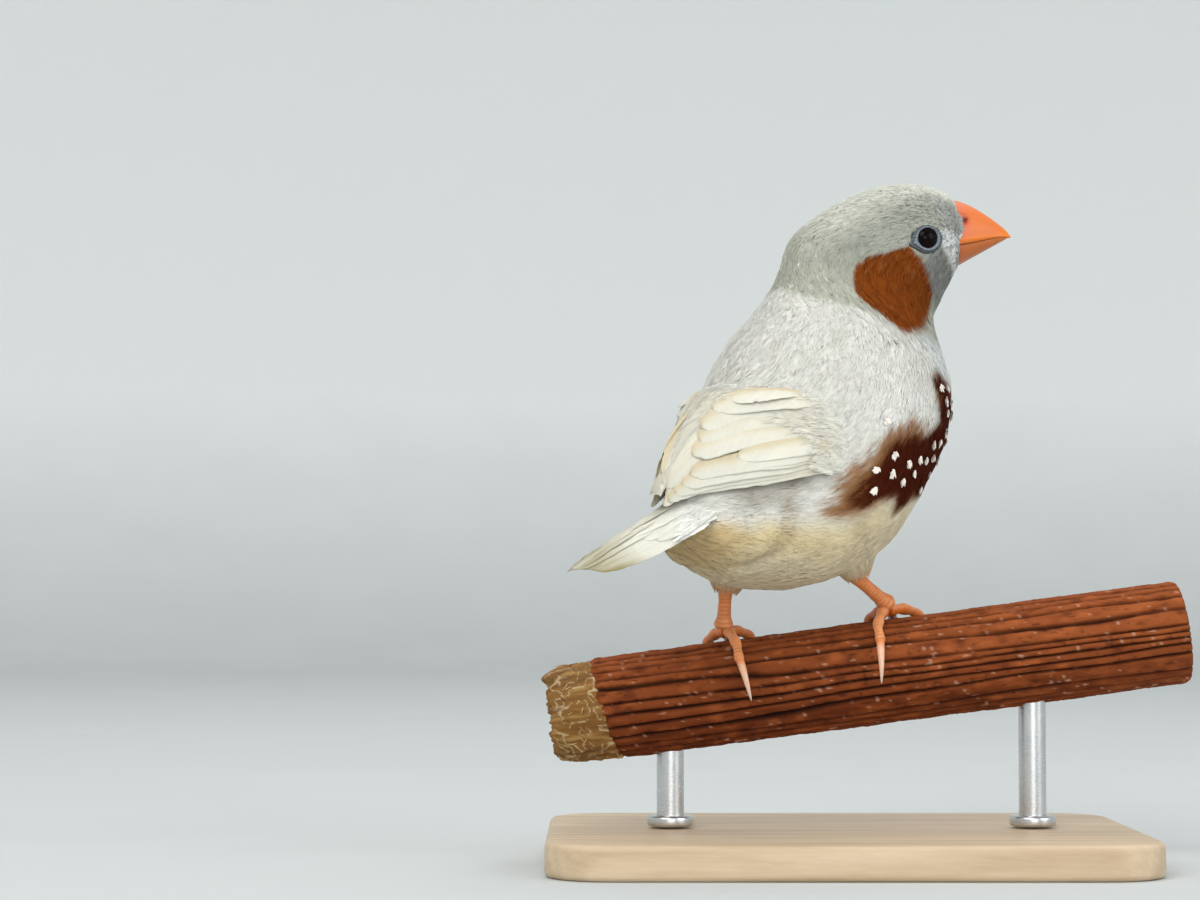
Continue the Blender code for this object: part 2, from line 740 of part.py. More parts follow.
def perch_parts(group):
    """Make the barked length of the perch and its bare end."""
    split = PERCH_LEFT + BARE_LENGTH
    rings = []
    for k in range(PERCH_STATIONS + 1):
        x = split + GAP + (PERCH_RIGHT - split - GAP) * k / PERCH_STATIONS
        ring = []
        for i in range(PERCH_SIDES):
            turn = 360.0 * i / PERCH_SIDES
            wander = 0.5 * math.sin(x * 0.09) + 0.3 * math.sin(x * 0.21 + 1.0)
            ridge = 0.5 + 0.5 * math.cos(math.radians(turn) * BARK_RIDGES + wander)
            ring.append(perch_point(x, turn, PERCH_RADIUS - BARK_DEPTH * (1.0 - ridge)))
        rings.append(ring)
    loft("perch_branch", rings, group, "red_bark")
    rings = []
    for k in range(5):
        t = k / 4
        x = PERCH_LEFT + BARE_LENGTH * t
        ring = []
        for i in range(PERCH_SIDES // 2):
            turn = 720.0 * i / PERCH_SIDES
            gnawed = 0.5 * math.sin(math.radians(turn) * 3 + 1.0) + 0.3 * math.sin(math.radians(turn) * 5)
            radius = BARE_RADIUS - 0.5 * (1.0 - t) ** 2 - 0.25 * gnawed * (1.0 - t)
            lean = 0.6 * gnawed * (1.0 - t)
            ring.append(perch_point(x + lean, turn, radius))
        rings.append(ring)
    loft("perch_bare_end", rings, group, "bare_wood")


def toe(name, plan, kind, group):
    """Make one toe with its claw, curled round the perch from the foot."""
    way = 1.0 if kind == "hind" else -1.0
    length, foot_x, splay = TOE_LENGTHS[kind], plan["foot_x"], plan["splays"][kind]
    route, radii = [], []
    for k in range(TOE_STEPS + 1):
        t = k / TOE_STEPS
        turn = way * math.degrees(length * t / TOE_REST) - way * TOE_OVERLAP
        side = splay * min(1.0, t * 1.4) ** 0.8
        pad = 0.5 + 0.5 * math.cos(2 * math.pi * (t * 3.0 + 0.1))
        radius = TOE_RADIUS * (1.0 - 0.22 * t) * (0.84 + 0.16 * pad)
        route.append(perch_point(foot_x + side, turn, TOE_REST))
        radii.append(radius)
    for k in range(1, CLAW_STEPS + 1):
        t = k / CLAW_STEPS
        turn = way * math.degrees((length + CLAW_LENGTH * t) / TOE_REST) - way * TOE_OVERLAP
        arch = 0.5 * math.sin(math.pi * t * 0.9) - 0.3 * t
        radius = TOE_RADIUS * 0.62 * (1.0 - t) ** 0.8 + CLAW_TIP_RADIUS
        route.append(perch_point(foot_x + splay + plan["claw_drift"] * t, turn, TOE_REST + arch))
        radii.append(min(radius, TOE_RADIUS * 0.66))
    return tube(name, route, radii, group, "orange_skin")


def leg(name, plan, group):
    """Make a shank and its gripping foot as one body."""
    foot = perch_point(plan["foot_x"], 0.0, PERCH_RADIUS + GAP + TOE_RADIUS + 0.8)
    top = bird_point(*plan["cuff"])
    heel = top + (top - foot).normalized() * (CUFF_DEPTH * MM)
    route = [heel.lerp(foot, t) for t in (0.0, 0.25, 0.5, 0.75, 1.0)]
    shank = tube(name, route, [SHANK_RADIUS * k for k in (1.0, 0.92, 0.92, 1.05, 1.2)], group, "orange_skin")
    toes = [toe(name + "_" + kind, plan, kind, group) for kind in plan["splays"]]
    combine(shank, toes)
    return shank


def thigh(name, plan, group):
    """Make the feathered thigh, from inside the belly down to the cuff."""
    hip, cuff = bird_point(*plan["hip"]), bird_point(*plan["cuff"])
    route = [hip.lerp(cuff, t) for t in (0.0, 0.3, 0.6, 0.85, 1.0)]
    radii = [THIGH_RADIUS, THIGH_RADIUS * 0.95, THIGH_RADIUS * 0.7, CUFF_RADIUS * 1.2, CUFF_RADIUS * 0.85]
    return tube(name, route, radii, group, "pale_plumage")


def stand_parts(group, cutters):
    """Make the flat base and the two rods that carry the perch."""
    bpy.ops.mesh.primitive_cube_add(size=1.0)
    base = bpy.context.object
    base.name = "stand_base"
    base.data.transform(Matrix.Translation((0, 0, BASE_HEIGHT / 2 * MM)) @ Matrix.Diagonal(
        (BASE_LENGTH * MM, BASE_DEPTH * MM, BASE_HEIGHT * MM, 1.0)))
    work = bmesh.new()
    work.from_mesh(base.data)
    upright = [e for e in work.edges if abs(e.verts[0].co.z - e.verts[1].co.z) > MM]
    bmesh.ops.bevel(work, geom=upright, offset=BASE_CORNER * MM, segments=6, profile=0.5, affect="EDGES")
    top = [e for e in work.edges if min(v.co.z for v in e.verts) > (BASE_HEIGHT - 0.1) * MM]
    bmesh.ops.bevel(work, geom=top, offset=BASE_BEVEL * MM, segments=2, profile=0.5, affect="EDGES")
    work.to_mesh(base.data)
    work.free()
    base.data.materials.append(finish("stand_wood"))
    move_to(base, group)
    for number, x in enumerate(ROD_PLACES, start=1):
        foot = (BASE_HEIGHT + GAP) * MM
        top = perch_height(x) * MM
        bpy.ops.mesh.primitive_cylinder_add(
            vertices=16, radius=ROD_RADIUS * MM, depth=top - foot,
            location=(x * MM, 0.0, (top + foot) / 2))
        rod = bpy.context.object
        rod.name = "stand_rod_" + str(number)
        rod.data.materials.append(finish("stand_steel"))
        move_to(rod, group)
        bpy.ops.mesh.primitive_cylinder_add(
            vertices=16, radius=ROD_COLLAR_RADIUS * MM, depth=ROD_COLLAR_HEIGHT * MM,
            location=(x * MM, 0.0, foot + ROD_COLLAR_HEIGHT / 2 * MM))
        collar = bpy.context.object
        bpy.ops.mesh.primitive_cylinder_add(
            vertices=48, radius=(PERCH_RADIUS + GAP) * MM, depth=40 * MM,
            location=(x * MM, 0.0, perch_height(x) * MM),
            rotation=(0.0, math.radians(90.0 - PERCH_TILT), 0.0))
        seat = bpy.context.object
        seat.hide_render = True
        seat.display_type = "WIRE"
        move_to(seat, cutters)
        combine(rod, [collar])
        cut(rod, seat)


def main():
    """Build the finch, its perch and its stand."""
    clear_scene()
    group = collection("zebra_finch")
    cutters = collection("cutters")
    torso = flesh("torso", 0.0, NECK_START, group, "pale_plumage")
    flesh("neck", NECK_START, HEAD_START, group, "grey_plumage")
    head = flesh("head", HEAD_START, len(BODY_RINGS) - 1, group, "grey_plumage")
    for name, side in (("right", 1), ("left", -1)):
        eye_parts(head, side, "eye_" + name, group)
    upper = bill("upper_bill", BILL_TIP, True, group)
    bill("lower_bill", LOWER_BILL_TIP, False, group)
    nostrils(upper, group)
    for name, plan in FEET.items():
        upper_leg = thigh("thigh_" + name, plan, group)
        cut(upper_leg, grown(torso, cutters))
        shank = leg("leg_" + name, plan, group)
        cut(shank, grown(upper_leg, cutters))
    for name, side in (("right", 1), ("left", -1)):
        sheet = wing_sheet(tree_of(torso), side)
        wing = wing_core("wing_" + name, sheet, group)
        feathers(wing, sheet, WING_TIERS, [side] * len(WING_TIERS), group)
        cut(wing, grown(torso, cutters))
        cut(wing, back_line(cutters))
    sheet = tail_sheet()
    tail = tail_core("tail", sheet, group)
    feathers(tail, sheet, TAIL_TIERS, (1.0, -1.0, 0.0), group)
    cut(tail, grown(torso, cutters))
    perch_parts(group)
    stand_parts(group, cutters)


if __name__ == "__main__":
    main()
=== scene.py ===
"""The looks of a zebra finch on its cut perch and plain display stand.

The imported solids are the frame. One plumage skin stands for the solids of flesh,
and a coat of small feathers covers it, with finer wing, tail, bill, eye, leg,
perch and stand pieces over the other solids. Sizes in the classes are
millimetres in the solids' own frame: +X along the perch, +Z up, the bird's tail
towards -X and -Y. A place on the body is given by its ring, from 0 at the rump
to 22 at the bill, and its turn in degrees from the back round to the belly.
"""

import itertools
import json
import logging
import math
from dataclasses import dataclass, field
from enum import Enum
from typing import Callable, Iterable, NamedTuple, Optional, Sequence
import bpy
import numpy as np
from mathutils import Matrix, Vector

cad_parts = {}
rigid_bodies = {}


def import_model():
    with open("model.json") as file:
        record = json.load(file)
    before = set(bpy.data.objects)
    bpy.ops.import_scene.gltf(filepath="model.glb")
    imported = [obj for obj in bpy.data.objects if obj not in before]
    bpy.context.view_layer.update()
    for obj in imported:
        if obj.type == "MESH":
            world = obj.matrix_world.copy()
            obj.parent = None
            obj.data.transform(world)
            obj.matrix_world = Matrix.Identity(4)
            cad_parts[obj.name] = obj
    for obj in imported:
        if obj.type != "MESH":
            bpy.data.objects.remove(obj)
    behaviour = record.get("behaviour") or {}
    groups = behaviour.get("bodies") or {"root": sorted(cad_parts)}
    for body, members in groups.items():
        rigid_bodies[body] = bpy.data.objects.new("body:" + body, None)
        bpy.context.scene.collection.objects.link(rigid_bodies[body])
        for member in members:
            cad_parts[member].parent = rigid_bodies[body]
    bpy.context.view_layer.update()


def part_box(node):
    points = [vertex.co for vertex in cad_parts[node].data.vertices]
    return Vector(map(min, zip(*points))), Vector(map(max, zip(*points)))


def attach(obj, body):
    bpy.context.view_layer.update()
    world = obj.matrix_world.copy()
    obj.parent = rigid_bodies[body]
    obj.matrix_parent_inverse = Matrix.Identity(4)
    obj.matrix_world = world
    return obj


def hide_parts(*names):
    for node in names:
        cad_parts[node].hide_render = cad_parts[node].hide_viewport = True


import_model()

LOG = logging.getLogger("zebra_finch")
MM = 0.001
ROOT = "root"
RING_MM = 3.9
TURN_MM = 0.27
MAP_MARGIN, MAP_ROOM = 0.02, 0.96

Array = np.ndarray
Material = bpy.types.Material


def tone(red: float, green: float, blue: float) -> Array:
    """Turn a colour named from 0 to 255 into the light that it reflects."""
    named = np.array((red, green, blue)) / 255.0
    return np.where(named <= 0.04045, named / 12.92, ((named + 0.055) / 1.055) ** 2.4)


def ramp(value: Array, low: float, high: float) -> Array:
    """Rise smoothly from 0 at low to 1 at high."""
    share = np.clip((value - low) / (high - low), 0.0, 1.0)
    return share * share * (3.0 - 2.0 * share)


def over(base: Array, colour: Array, mask: Array) -> Array:
    """Lay a colour over a base, which may be one colour, where a mask is near 1."""
    return base + (colour - base) * mask[..., None]


def joined(*parts: Array) -> Array:
    """Stack values that broadcast together in a new last axis."""
    return np.stack(np.broadcast_arrays(*parts), axis=-1)


NOISE_TABLE = np.random.default_rng(11).uniform(-1.0, 1.0, 4096)
NOISE_PRIMES = (73856093, 19349663, 83492791)
SEED_STEP = 17.31


def noise(points: Array, size: float, seed: int = 0) -> Array:
    """Return smooth random values.

    Args:
        points: Places in millimetres, in the last axis.
        size: The width of a blotch in millimetres.
        seed: Picks another pattern.

    Returns:
        Values from -1 to 1, one for each place.
    """
    place = points / size + seed * SEED_STEP
    cell = np.floor(place).astype(np.int64)
    part = place - cell
    part = part * part * (3.0 - 2.0 * part)
    total = np.zeros(points.shape[:-1])
    for corner in itertools.product((0, 1), repeat=points.shape[-1]):
        weight = np.ones(points.shape[:-1])
        mixed = np.zeros(points.shape[:-1], dtype=np.int64)
        for axis, step in enumerate(corner):
            weight *= part[..., axis] if step else 1.0 - part[..., axis]
            mixed ^= (cell[..., axis] + step) * NOISE_PRIMES[axis]
        total += weight * NOISE_TABLE[mixed % len(NOISE_TABLE)]
    return total


def smooth_curve(values: Array, share: Array) -> Array:
    """Read a smooth curve through rows of values.

    Args:
        values: The rows, evenly spaced along the curve.
        share: Places along the curve from 0 to 1.

    Returns:
        One row for each place.
    """
    last = len(values) - 1
    place = np.clip(share, 0.0, 1.0) * last
    i = np.minimum(place.astype(int), last - 1)
    f = (place - i).reshape(np.shape(place) + (1,) * (values.ndim - 1))
    b, c = values[i], values[i + 1]
    a = np.where((i > 0).reshape(f.shape), values[np.maximum(i - 1, 0)], 2.0 * b - c)
    d = np.where((i + 2 <= last).reshape(f.shape), values[np.minimum(i + 2, last)], 2.0 * c - b)
    bend = (2.0 * a - 5.0 * b + 4.0 * c - d) * f * f
    twist = (3.0 * b - a - 3.0 * c + d) * f * f * f
    return 0.5 * (2.0 * b + (c - a) * f + bend + twist)


def dense_sheet(rows: Sequence, facing: float) -> "Surface":
    """Return a smooth open surface through a few rows of points.

    Args:
        rows: The points, in rows along the surface.
        facing: 1 or -1, which picks the side of its normals.

    Returns:
        The surface.
    """
    along = smooth_curve(np.array(rows), np.linspace(0.0, 1.0, 61))
    grid = smooth_curve(along.transpose(1, 0, 2), np.linspace(0.0, 1.0, 41)).transpose(1, 0, 2)
    return Surface(grid, False, facing)


def unit(vectors: Array) -> Array:
    """Scale vectors to length 1."""
    return vectors / np.maximum(np.linalg.norm(vectors, axis=-1, keepdims=True), 1e-12)


def circle(count: int) -> Array:
    """Return evenly spaced turns round a circle, in radians."""
    return np.arange(count) * (2 * math.pi / count)


def turn_at(v: Array) -> Array:
    """Return the turn from the back, from 0 to 180 degrees, at a place v round the body."""
    return np.abs((v * 360.0 + 180.0) % 360.0 - 180.0)


class Socket:
    """A shader value that takes part in Python expressions."""

    def __init__(self, shader: "Shader", link: bpy.types.NodeSocket) -> None:
        """Keep the material and the output that gives the value."""
        self.shader = shader
        self.link = link

    def _math(self, operation: str, *values: object) -> "Socket":
        """Add a Math node for one or two values."""
        return self.shader.node("ShaderNodeMath", {"operation": operation}, dict(enumerate(values)))

    def __add__(self, other: object) -> "Socket":
        """Add."""
        return self._math("ADD", self, other)

    def __sub__(self, other: object) -> "Socket":
        """Subtract."""
        return self._math("SUBTRACT", self, other)

    def __mul__(self, other: object) -> "Socket":
        """Multiply."""
        return self._math("MULTIPLY", self, other)

    def sine(self) -> "Socket":
        """Return the sine."""
        return self._math("SINE", self)

    def absolute(self) -> "Socket":
        """Return the value without its sign."""
        return self._math("ABSOLUTE", self)


class Shader:
    """A material built from nodes around one Principled shader."""

    def __init__(self, name: str, roughness: float, metallic: float = 0.0) -> None:
        """Start the material.

        Args:
            name: The material's name.
            roughness: Its roughness, where no socket feeds it.
            metallic: 1 for bare metal.
        """
        self.material = bpy.data.materials.new(name)
        self.material.use_nodes = True
        self.tree = self.material.node_tree
        self.surface = self.tree.nodes["Principled BSDF"]
        self.fixed("Roughness", roughness)
        self.fixed("Metallic", metallic)

    def node(self, kind: str, settings: dict, inputs: dict, output: object = 0) -> Socket:
        """Add a node.

        Args:
            kind: The node's type.
            settings: The node's own properties, set first.
            inputs: Values or sockets by the input's name or place.
            output: The name or place of the output to return.

        Returns:
            The output as a Socket.
        """
        made = self.tree.nodes.new(kind)
        for key, value in settings.items():
            setattr(made, key, value)
        for key, value in inputs.items():
            if isinstance(value, Socket):
                self.tree.links.new(value.link, made.inputs[key])
            else:
                made.inputs[key].default_value = value
        return Socket(self, made.outputs[output])

    def tint(self) -> Socket:
        """Return the piece's painted colours."""
        return self.node("ShaderNodeAttribute", {"attribute_name": "tint"}, {}, "Color")

    def grain(self, size: float, detail: float = 3.0,
              stretch: Sequence[float] = (1.0, 1.0, 1.0)) -> Socket:
        """Return noise from 0 to 1.

        Args:
            size: The grain's size in millimetres.
            detail: How many finer layers it has.
            stretch: Scales the noise along X, Y and Z.

        Returns:
            The noise as a Socket.
        """
        place = self.node("ShaderNodeTexCoord", {}, {}, "Object")
        place = self.node("ShaderNodeMapping", {}, {"Vector": place, "Scale": tuple(stretch)})
        return self.node("ShaderNodeTexNoise", {}, {
            "Vector": place, "Scale": 1.0 / (size * MM), "Detail": detail, "Roughness": 0.55}, "Fac")

    def mixed(self, share: object, first: object, second: object, blend: str = "MIX") -> Socket:
        """Mix two colours.

        Args:
            share: How much of the second colour shows, as a number or a Socket.
            first: The first colour, as three numbers or a Socket.
            second: The second colour, likewise.
            blend: The node's way to mix.

        Returns:
            The mixed colour as a Socket.
        """
        first, second = (c if isinstance(c, Socket) else (*c, 1.0) for c in (first, second))
        return self.node("ShaderNodeMix", {"data_type": "RGBA", "blend_type": blend},
                         {0: share, 6: first, 7: second}, 2)

    def scaled(self, colour: Socket, factor: Socket) -> Socket:
        """Brighten or darken a colour by a factor."""
        grey = self.node("ShaderNodeCombineColor", {}, {0: factor, 1: factor, 2: factor})
        return self.mixed(1.0, colour, grey, "MULTIPLY")

    def feed(self, name: str, value: Socket) -> None:
        """Link a value to the Principled shader."""
        self.tree.links.new(value.link, self.surface.inputs[name])

    def bump(self, height: Socket, depth: float, strength: float = 1.0) -> None:
        """Raise the surface by a height field.

        Args:
            height: The field, from 0 to 1.
            depth: Its depth in millimetres.
            strength: How strongly it shows.
        """
        self.feed("Normal", self.node("ShaderNodeBump", {}, {
            "Height": height, "Distance": depth * MM, "Strength": strength}, "Normal"))

    def fixed(self, name: str, value: object) -> None:
        """Set one of the Principled shader's own values."""
        self.surface.inputs[name].default_value = value


@dataclass(frozen=True)
class PlumageFinish:
    """Feathers, painted by their markings."""

    name: str
    roughness: float = 0.85
    grain_size: float = 0.5
    grain_share: float = 0.04

    def build(self) -> Material:
        """Build the material from nodes.

        Returns:
            The material.
        """
        shader = Shader(self.name, self.roughness)
        grain = shader.grain(self.grain_size)
        shader.feed("Base Color", shader.scaled(shader.tint(), grain * (2.0 * self.grain_share)
                                                + (1.0 - self.grain_share)))
        shader.fixed("Specular IOR Level", 0.08)
        return shader.material


@dataclass(frozen=True)
class VaneFinish:
    """Long feathers, with fine barbs that slant from the shaft."""

    name: str
    roughness: float = 0.62
    barb_spacing: float = 0.24
    barb_depth: float = 0.09
    barb_shade: float = 0.035
    streak_scale: float = 1.4
    streak_shade: float = 0.16
    barb_slant: float = 1.1
    barb_waver: float = 5.0
    streak_slant: float = 0.9
    streak_spread: float = 0.35

    def build(self) -> Material:
        """Build the material from nodes.

        Returns:
            The material.
        """
        shader = Shader(self.name, self.roughness)
        place = shader.node("ShaderNodeUVMap", {"uv_map": "barbs"}, {})
        across = shader.node("ShaderNodeSeparateXYZ", {}, {0: place}, "X")
        along = shader.node("ShaderNodeSeparateXYZ", {}, {0: place}, "Y")
        waver = shader.grain(1.2)
        slanted = along - across.absolute() * self.barb_slant
        phase = slanted * (2 * math.pi / self.barb_spacing) + waver * self.barb_waver
        barb = phase.sine() * 0.5 + 0.5
        lines = shader.node("ShaderNodeCombineXYZ", {}, {
            0: (along - across.absolute() * self.streak_slant) * self.streak_scale,
            1: across * self.streak_spread, 2: 0.0})
        streak = shader.node("ShaderNodeTexNoise", {}, {"Vector": lines, "Scale": 1.0, "Detail": 3.0},
                             "Fac")
        tint, base = shader.tint(), 1.0 - self.barb_shade - self.streak_shade * 0.6
        shade = barb * self.barb_shade + streak * self.streak_shade + base
        shader.feed("Base Color", shader.scaled(tint, shade))
        shader.bump(barb * 0.4 + streak * 0.6, self.barb_depth, 0.9)
        shader.fixed("Specular IOR Level", 0.15)
        return shader.material


@dataclass(frozen=True)
class PaintedFinish:
    """A painted surface with fine grain in its colour and its height."""

    name: str
    roughness: float
    grain_size: float
    grain_share: float
    grain_depth: float
    coat: float = 0.0
    stretch: Sequence[float] = (1.0, 1.0, 1.0)
    subsurface: float = 0.0
    specular: float = 0.3

    def build(self) -> Material:
        """Build the material from nodes.

        Returns:
            The material.
        """
        shader = Shader(self.name, self.roughness)
        grain = shader.grain(self.grain_size, 5.0, self.stretch)
        fine = shader.grain(self.grain_size * 0.3, 3.0, self.stretch)
        shader.feed("Base Color", shader.scaled(
            shader.tint(), (grain * 1.4 + fine * 0.6) * self.grain_share + (1.0 - self.grain_share)))
        if self.grain_depth:
            shader.bump(grain * 0.6 + fine * 0.4, self.grain_depth)
        shader.feed("Roughness", (grain - 0.5) * 0.25 + self.roughness)
        shader.fixed("Specular IOR Level", self.specular)
        shader.fixed("Coat Weight", self.coat)
        shader.fixed("Coat Roughness", 0.15)
        shader.fixed("Subsurface Weight", self.subsurface)
        shader.fixed("Subsurface Scale", 0.6 * MM)
        return shader.material


class Slot(Enum):
    """The record's material slots."""

    PALE = "pale_plumage"
    GREY = "grey_plumage"
    WING = "wing_feather"
    HORN = "orange_horn"
    EYE = "dark_eye"
    SKIN = "orange_skin"
    BARK = "red_bark"
    BARE = "bare_wood"
    WOOD = "stand_wood"
    STEEL = "stand_steel"


class Spot(NamedTuple):
    """What a surface says of its places: point, normal, and its size along u and v in millimetres."""

    point: Array
    normal: Array
    along_mm: Array
    across_mm: Array


class Surface:
    """A smooth surface through a grid of points, read by u and v from 0 to 1."""

    def __init__(self, grid: Array, closed: bool, facing: float = 0.0) -> None:
        """Work out the surface's slopes and normals.

        Args:
            grid: Points in millimetres, in rows along the surface.
            closed: Whether each row joins up round the surface.
            facing: 1 or -1 picks the side of the normals, and 0 turns them outwards.
        """
        self.grid = grid
        self.closed = closed
        rows, columns = grid.shape[:2]
        along = np.gradient(grid, axis=0) * (rows - 1)
        if closed:
            across = (np.roll(grid, -1, axis=1) - np.roll(grid, 1, axis=1)) * 0.5 * columns
        else:
            across = np.gradient(grid, axis=1) * (columns - 1)
        normal = unit(np.cross(along, across))
        self.facing = facing or np.sign((normal * (grid - grid.mean(axis=1, keepdims=True))).sum())
        self.read = np.concatenate((grid, normal * self.facing, along, across), axis=-1)

    @property
    def normals(self) -> Array:
        """The normals at the grid's points."""
        return self.read[..., 3:6]

    def at(self, u: Array, v: Array) -> Spot:
        """Read the surface.

        Args:
            u: Places along it.
            v: Places across or round it.

        Returns:
            What the surface says of these places.
        """
        rows, columns = self.grid.shape[:2]
        a = np.clip(u, 0.0, 1.0) * (rows - 1)
        i = np.minimum(a.astype(int), rows - 2)
        f = (a - i)[..., None]
        if self.closed:
            b = (v % 1.0) * columns
            j = b.astype(int) % columns
            k = (j + 1) % columns
            g = (b - np.floor(b))[..., None]
        else:
            b = np.clip(v, 0.0, 1.0) * (columns - 1)
            j = np.minimum(b.astype(int), columns - 2)
            k = j + 1
            g = (b - j)[..., None]
        low = self.read[i, j] * (1.0 - g) + self.read[i, k] * g
        high = self.read[i + 1, j] * (1.0 - g) + self.read[i + 1, k] * g
        found = low * (1.0 - f) + high * f
        lengths = (np.maximum(np.linalg.norm(found[..., k:k + 3], axis=-1), 1.0) for k in (6, 9))
        return Spot(found[..., 0:3], unit(found[..., 3:6]), *lengths)


def place_piece(piece: bpy.types.Object, nodes: Iterable[str] = ()) -> None:
    """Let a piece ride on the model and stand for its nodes.

    Args:
        piece: The piece, at the origin.
        nodes: The solids that it stands for.
    """
    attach(piece, ROOT)
    if nodes:
        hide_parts(*nodes)
    LOG.info("%s: %d faces", piece.name, len(piece.data.polygons))


def fill(target: object, name: str, values: Array, kind: type = np.float32) -> None:
    """Write an array into a property of a mesh's elements."""
    target.foreach_set(name, values.astype(kind).ravel())


def triangles(faces: Array) -> Array:
    """Split quads into triangles, and leave triangles as they are.

    Args:
        faces: The faces, of three or of four points each.

    Returns:
        The triangles, by the points' numbers.
    """
    if faces.shape[-1] == 3:
        return faces
    return np.concatenate((faces[:, (0, 1, 2)], faces[:, (0, 2, 3)]))


class MeshData:
    """Points, triangles, painted colours and map places, gathered for one piece."""

    def __init__(self) -> None:
        """Start without points."""
        self.points: list = []
        self.faces: list = []
        self.tints: list = []
        self.maps: list = []
        self.normals: list = []
        self.count = 0

    def add(self, points: Array, faces: Array, tints: Array, places: Optional[Array] = None,
            normals: Optional[Array] = None) -> None:
        """Add points and faces.

        Args:
            points: Points in millimetres.
            faces: Triangles or quads of these points.
            tints: A colour for each point, or one for all.
            places: Map places of the points.
            normals: Normals of the points.
        """
        self.points.append(points.reshape(-1, 3))
        self.faces.append(triangles(faces) + self.count)
        self.tints.append(np.broadcast_to(tints, points.shape).reshape(-1, 3))
        if places is not None:
            self.maps.append(places.reshape(-1, 2))
        if normals is not None:
            self.normals.append(normals.reshape(-1, 3))
        self.count += len(self.points[-1])

    def mesh(self, name: str, map_name: str) -> bpy.types.Mesh:
        """Make the mesh.

        Args:
            name: Its name.
            map_name: The name of its UV map, where places were given.

        Returns:
            The mesh, with its colours, map and normals.
        """
        points = np.concatenate(self.points) * MM
        faces = np.concatenate(self.faces)
        mesh = bpy.data.meshes.new(name)
        mesh.vertices.add(len(points))
        fill(mesh.vertices, "co", points)
        mesh.loops.add(faces.size)
        fill(mesh.loops, "vertex_index", faces, np.int32)
        mesh.polygons.add(len(faces))
        fill(mesh.polygons, "loop_start", np.arange(0, faces.size, 3), np.int32)
        fill(mesh.polygons, "loop_total", np.full(len(faces), 3), np.int32)
        mesh.update(calc_edges=True)
        fill(mesh.polygons, "use_smooth", np.ones(len(faces)), bool)
        colours = np.ones((len(points), 4))
        colours[:, :3] = np.clip(np.concatenate(self.tints), 0.0, 1.0)
        fill(mesh.attributes.new("tint", "FLOAT_COLOR", "POINT").data, "color", colours)
        if self.maps:
            fill(mesh.uv_layers.new(name=map_name).data, "uv", np.concatenate(self.maps)[faces.ravel()])
        if self.normals:
            facing = mesh.attributes.new("custom_normal", "FLOAT_VECTOR", "POINT")
            fill(facing.data, "vector", np.concatenate(self.normals))
        return mesh

    def build(self, name: str, material: Material, map_name: str = "OFBake") -> bpy.types.Object:
        """Make the object at the origin.

        Args:
            name: The piece's name.
            material: The material of all its faces.
            map_name: The name of the UV map, where places were given.

        Returns:
            The object.
        """
        mesh = self.mesh(name, map_name)
        mesh.materials.append(material)
        made = bpy.data.objects.new(name, mesh)
        bpy.context.scene.collection.objects.link(made)
        return made

    def piece(self, name: str, material: Material, slot: Slot, nodes: Iterable[str] = (),
              map_name: str = "OFBake") -> None:
        """Make a piece of the model.

        Args:
            name: The piece's name.
            material: The material of all its faces.
            slot: Its material slot; not used.
            nodes: The solids that it stands for.
            map_name: The name of the UV map, where places were given.
        """
        place_piece(self.build(name, material, map_name), nodes)


def grid_faces(rows: int, columns: int, closed: bool = True) -> Array:
    """Return the quads of a grid of points, joined round its columns where closed.

    Args:
        rows: How many rows the grid has.
        columns: How many points a row has.
        closed: Whether each row joins up.

    Returns:
        The quads, by the points' numbers.
    """
    r = np.arange(rows - 1)[:, None]
    c = np.arange(columns if closed else columns - 1)[None, :]
    n = (c + 1) % columns
    low, high = r * columns, (r + 1) * columns
    return joined(low + c, low + n, high + n, high + c).reshape(-1, 4)


def add_tube(data: MeshData, rings: Array, tints: Array, flip: bool = False,
             places: Optional[Array] = None) -> None:
    """Add a closed tube of rings, with an end point at each end.

    Args:
        data: What the tube is added to.
        rings: Points as rows of rings, in millimetres.
        tints: Their colours.
        flip: Turns the faces over.
        places: Their map places.
    """
    rows, columns = rings.shape[:2]
    ends = np.stack((rings[0].mean(axis=0), rings[-1].mean(axis=0)))
    tints = np.broadcast_to(tints, rings.shape)
    c = np.arange(columns)
    n = (c + 1) % columns
    first = np.full(columns, rows * columns)
    base = (rows - 1) * columns
    faces = np.concatenate((triangles(grid_faces(rows, columns)), joined(first, n, c),
                            joined(first + 1, base + c, base + n)))
    if places is not None:
        places = np.concatenate((places.reshape(-1, 2), places[(0, -1), 0]))
    data.add(np.concatenate((rings.reshape(-1, 3), ends)), faces[:, ::-1] if flip else faces,
             np.concatenate((tints.reshape(-1, 3), tints[(0, -1), 0])), places)


@dataclass
class Stance:
    """How the bird stands: the neck's upright axis and the ways that it faces."""

    neck_x: float = 3.0
    neck_y: float = 8.4
    body_heading: float = 45.0
    head_heading: float = 5.0

    def point(self, s: Array, w: Array, z: Array, heading: Array) -> Array:
        """Turn places on the bird into points in millimetres.

        Args:
            s: Distance in front of the neck's axis.
            w: Distance to the bird's right.
            z: Height above the floor.
            heading: The way that this part of the bird faces, in degrees.

        Returns:
            The points.
        """
        turn = np.radians(heading)
        x = self.neck_x + s * np.cos(turn) + w * np.sin(turn)
        y = self.neck_y + s * np.sin(turn) - w * np.cos(turn)
        return joined(x, y, z)

    def place(self, points: Array, heading: float) -> tuple:
        """Turn points into places on the bird.

        Args:
            points: Points in millimetres.
            heading: The way that this part of the bird faces, in degrees.

        Returns:
            Their s, w and z, as point has them.
        """
        turn = math.radians(heading)
        x, y = points[..., 0] - self.neck_x, points[..., 1] - self.neck_y
        s = x * math.cos(turn) + y * math.sin(turn)
        w = x * math.sin(turn) - y * math.cos(turn)
        return s, w, points[..., 2]


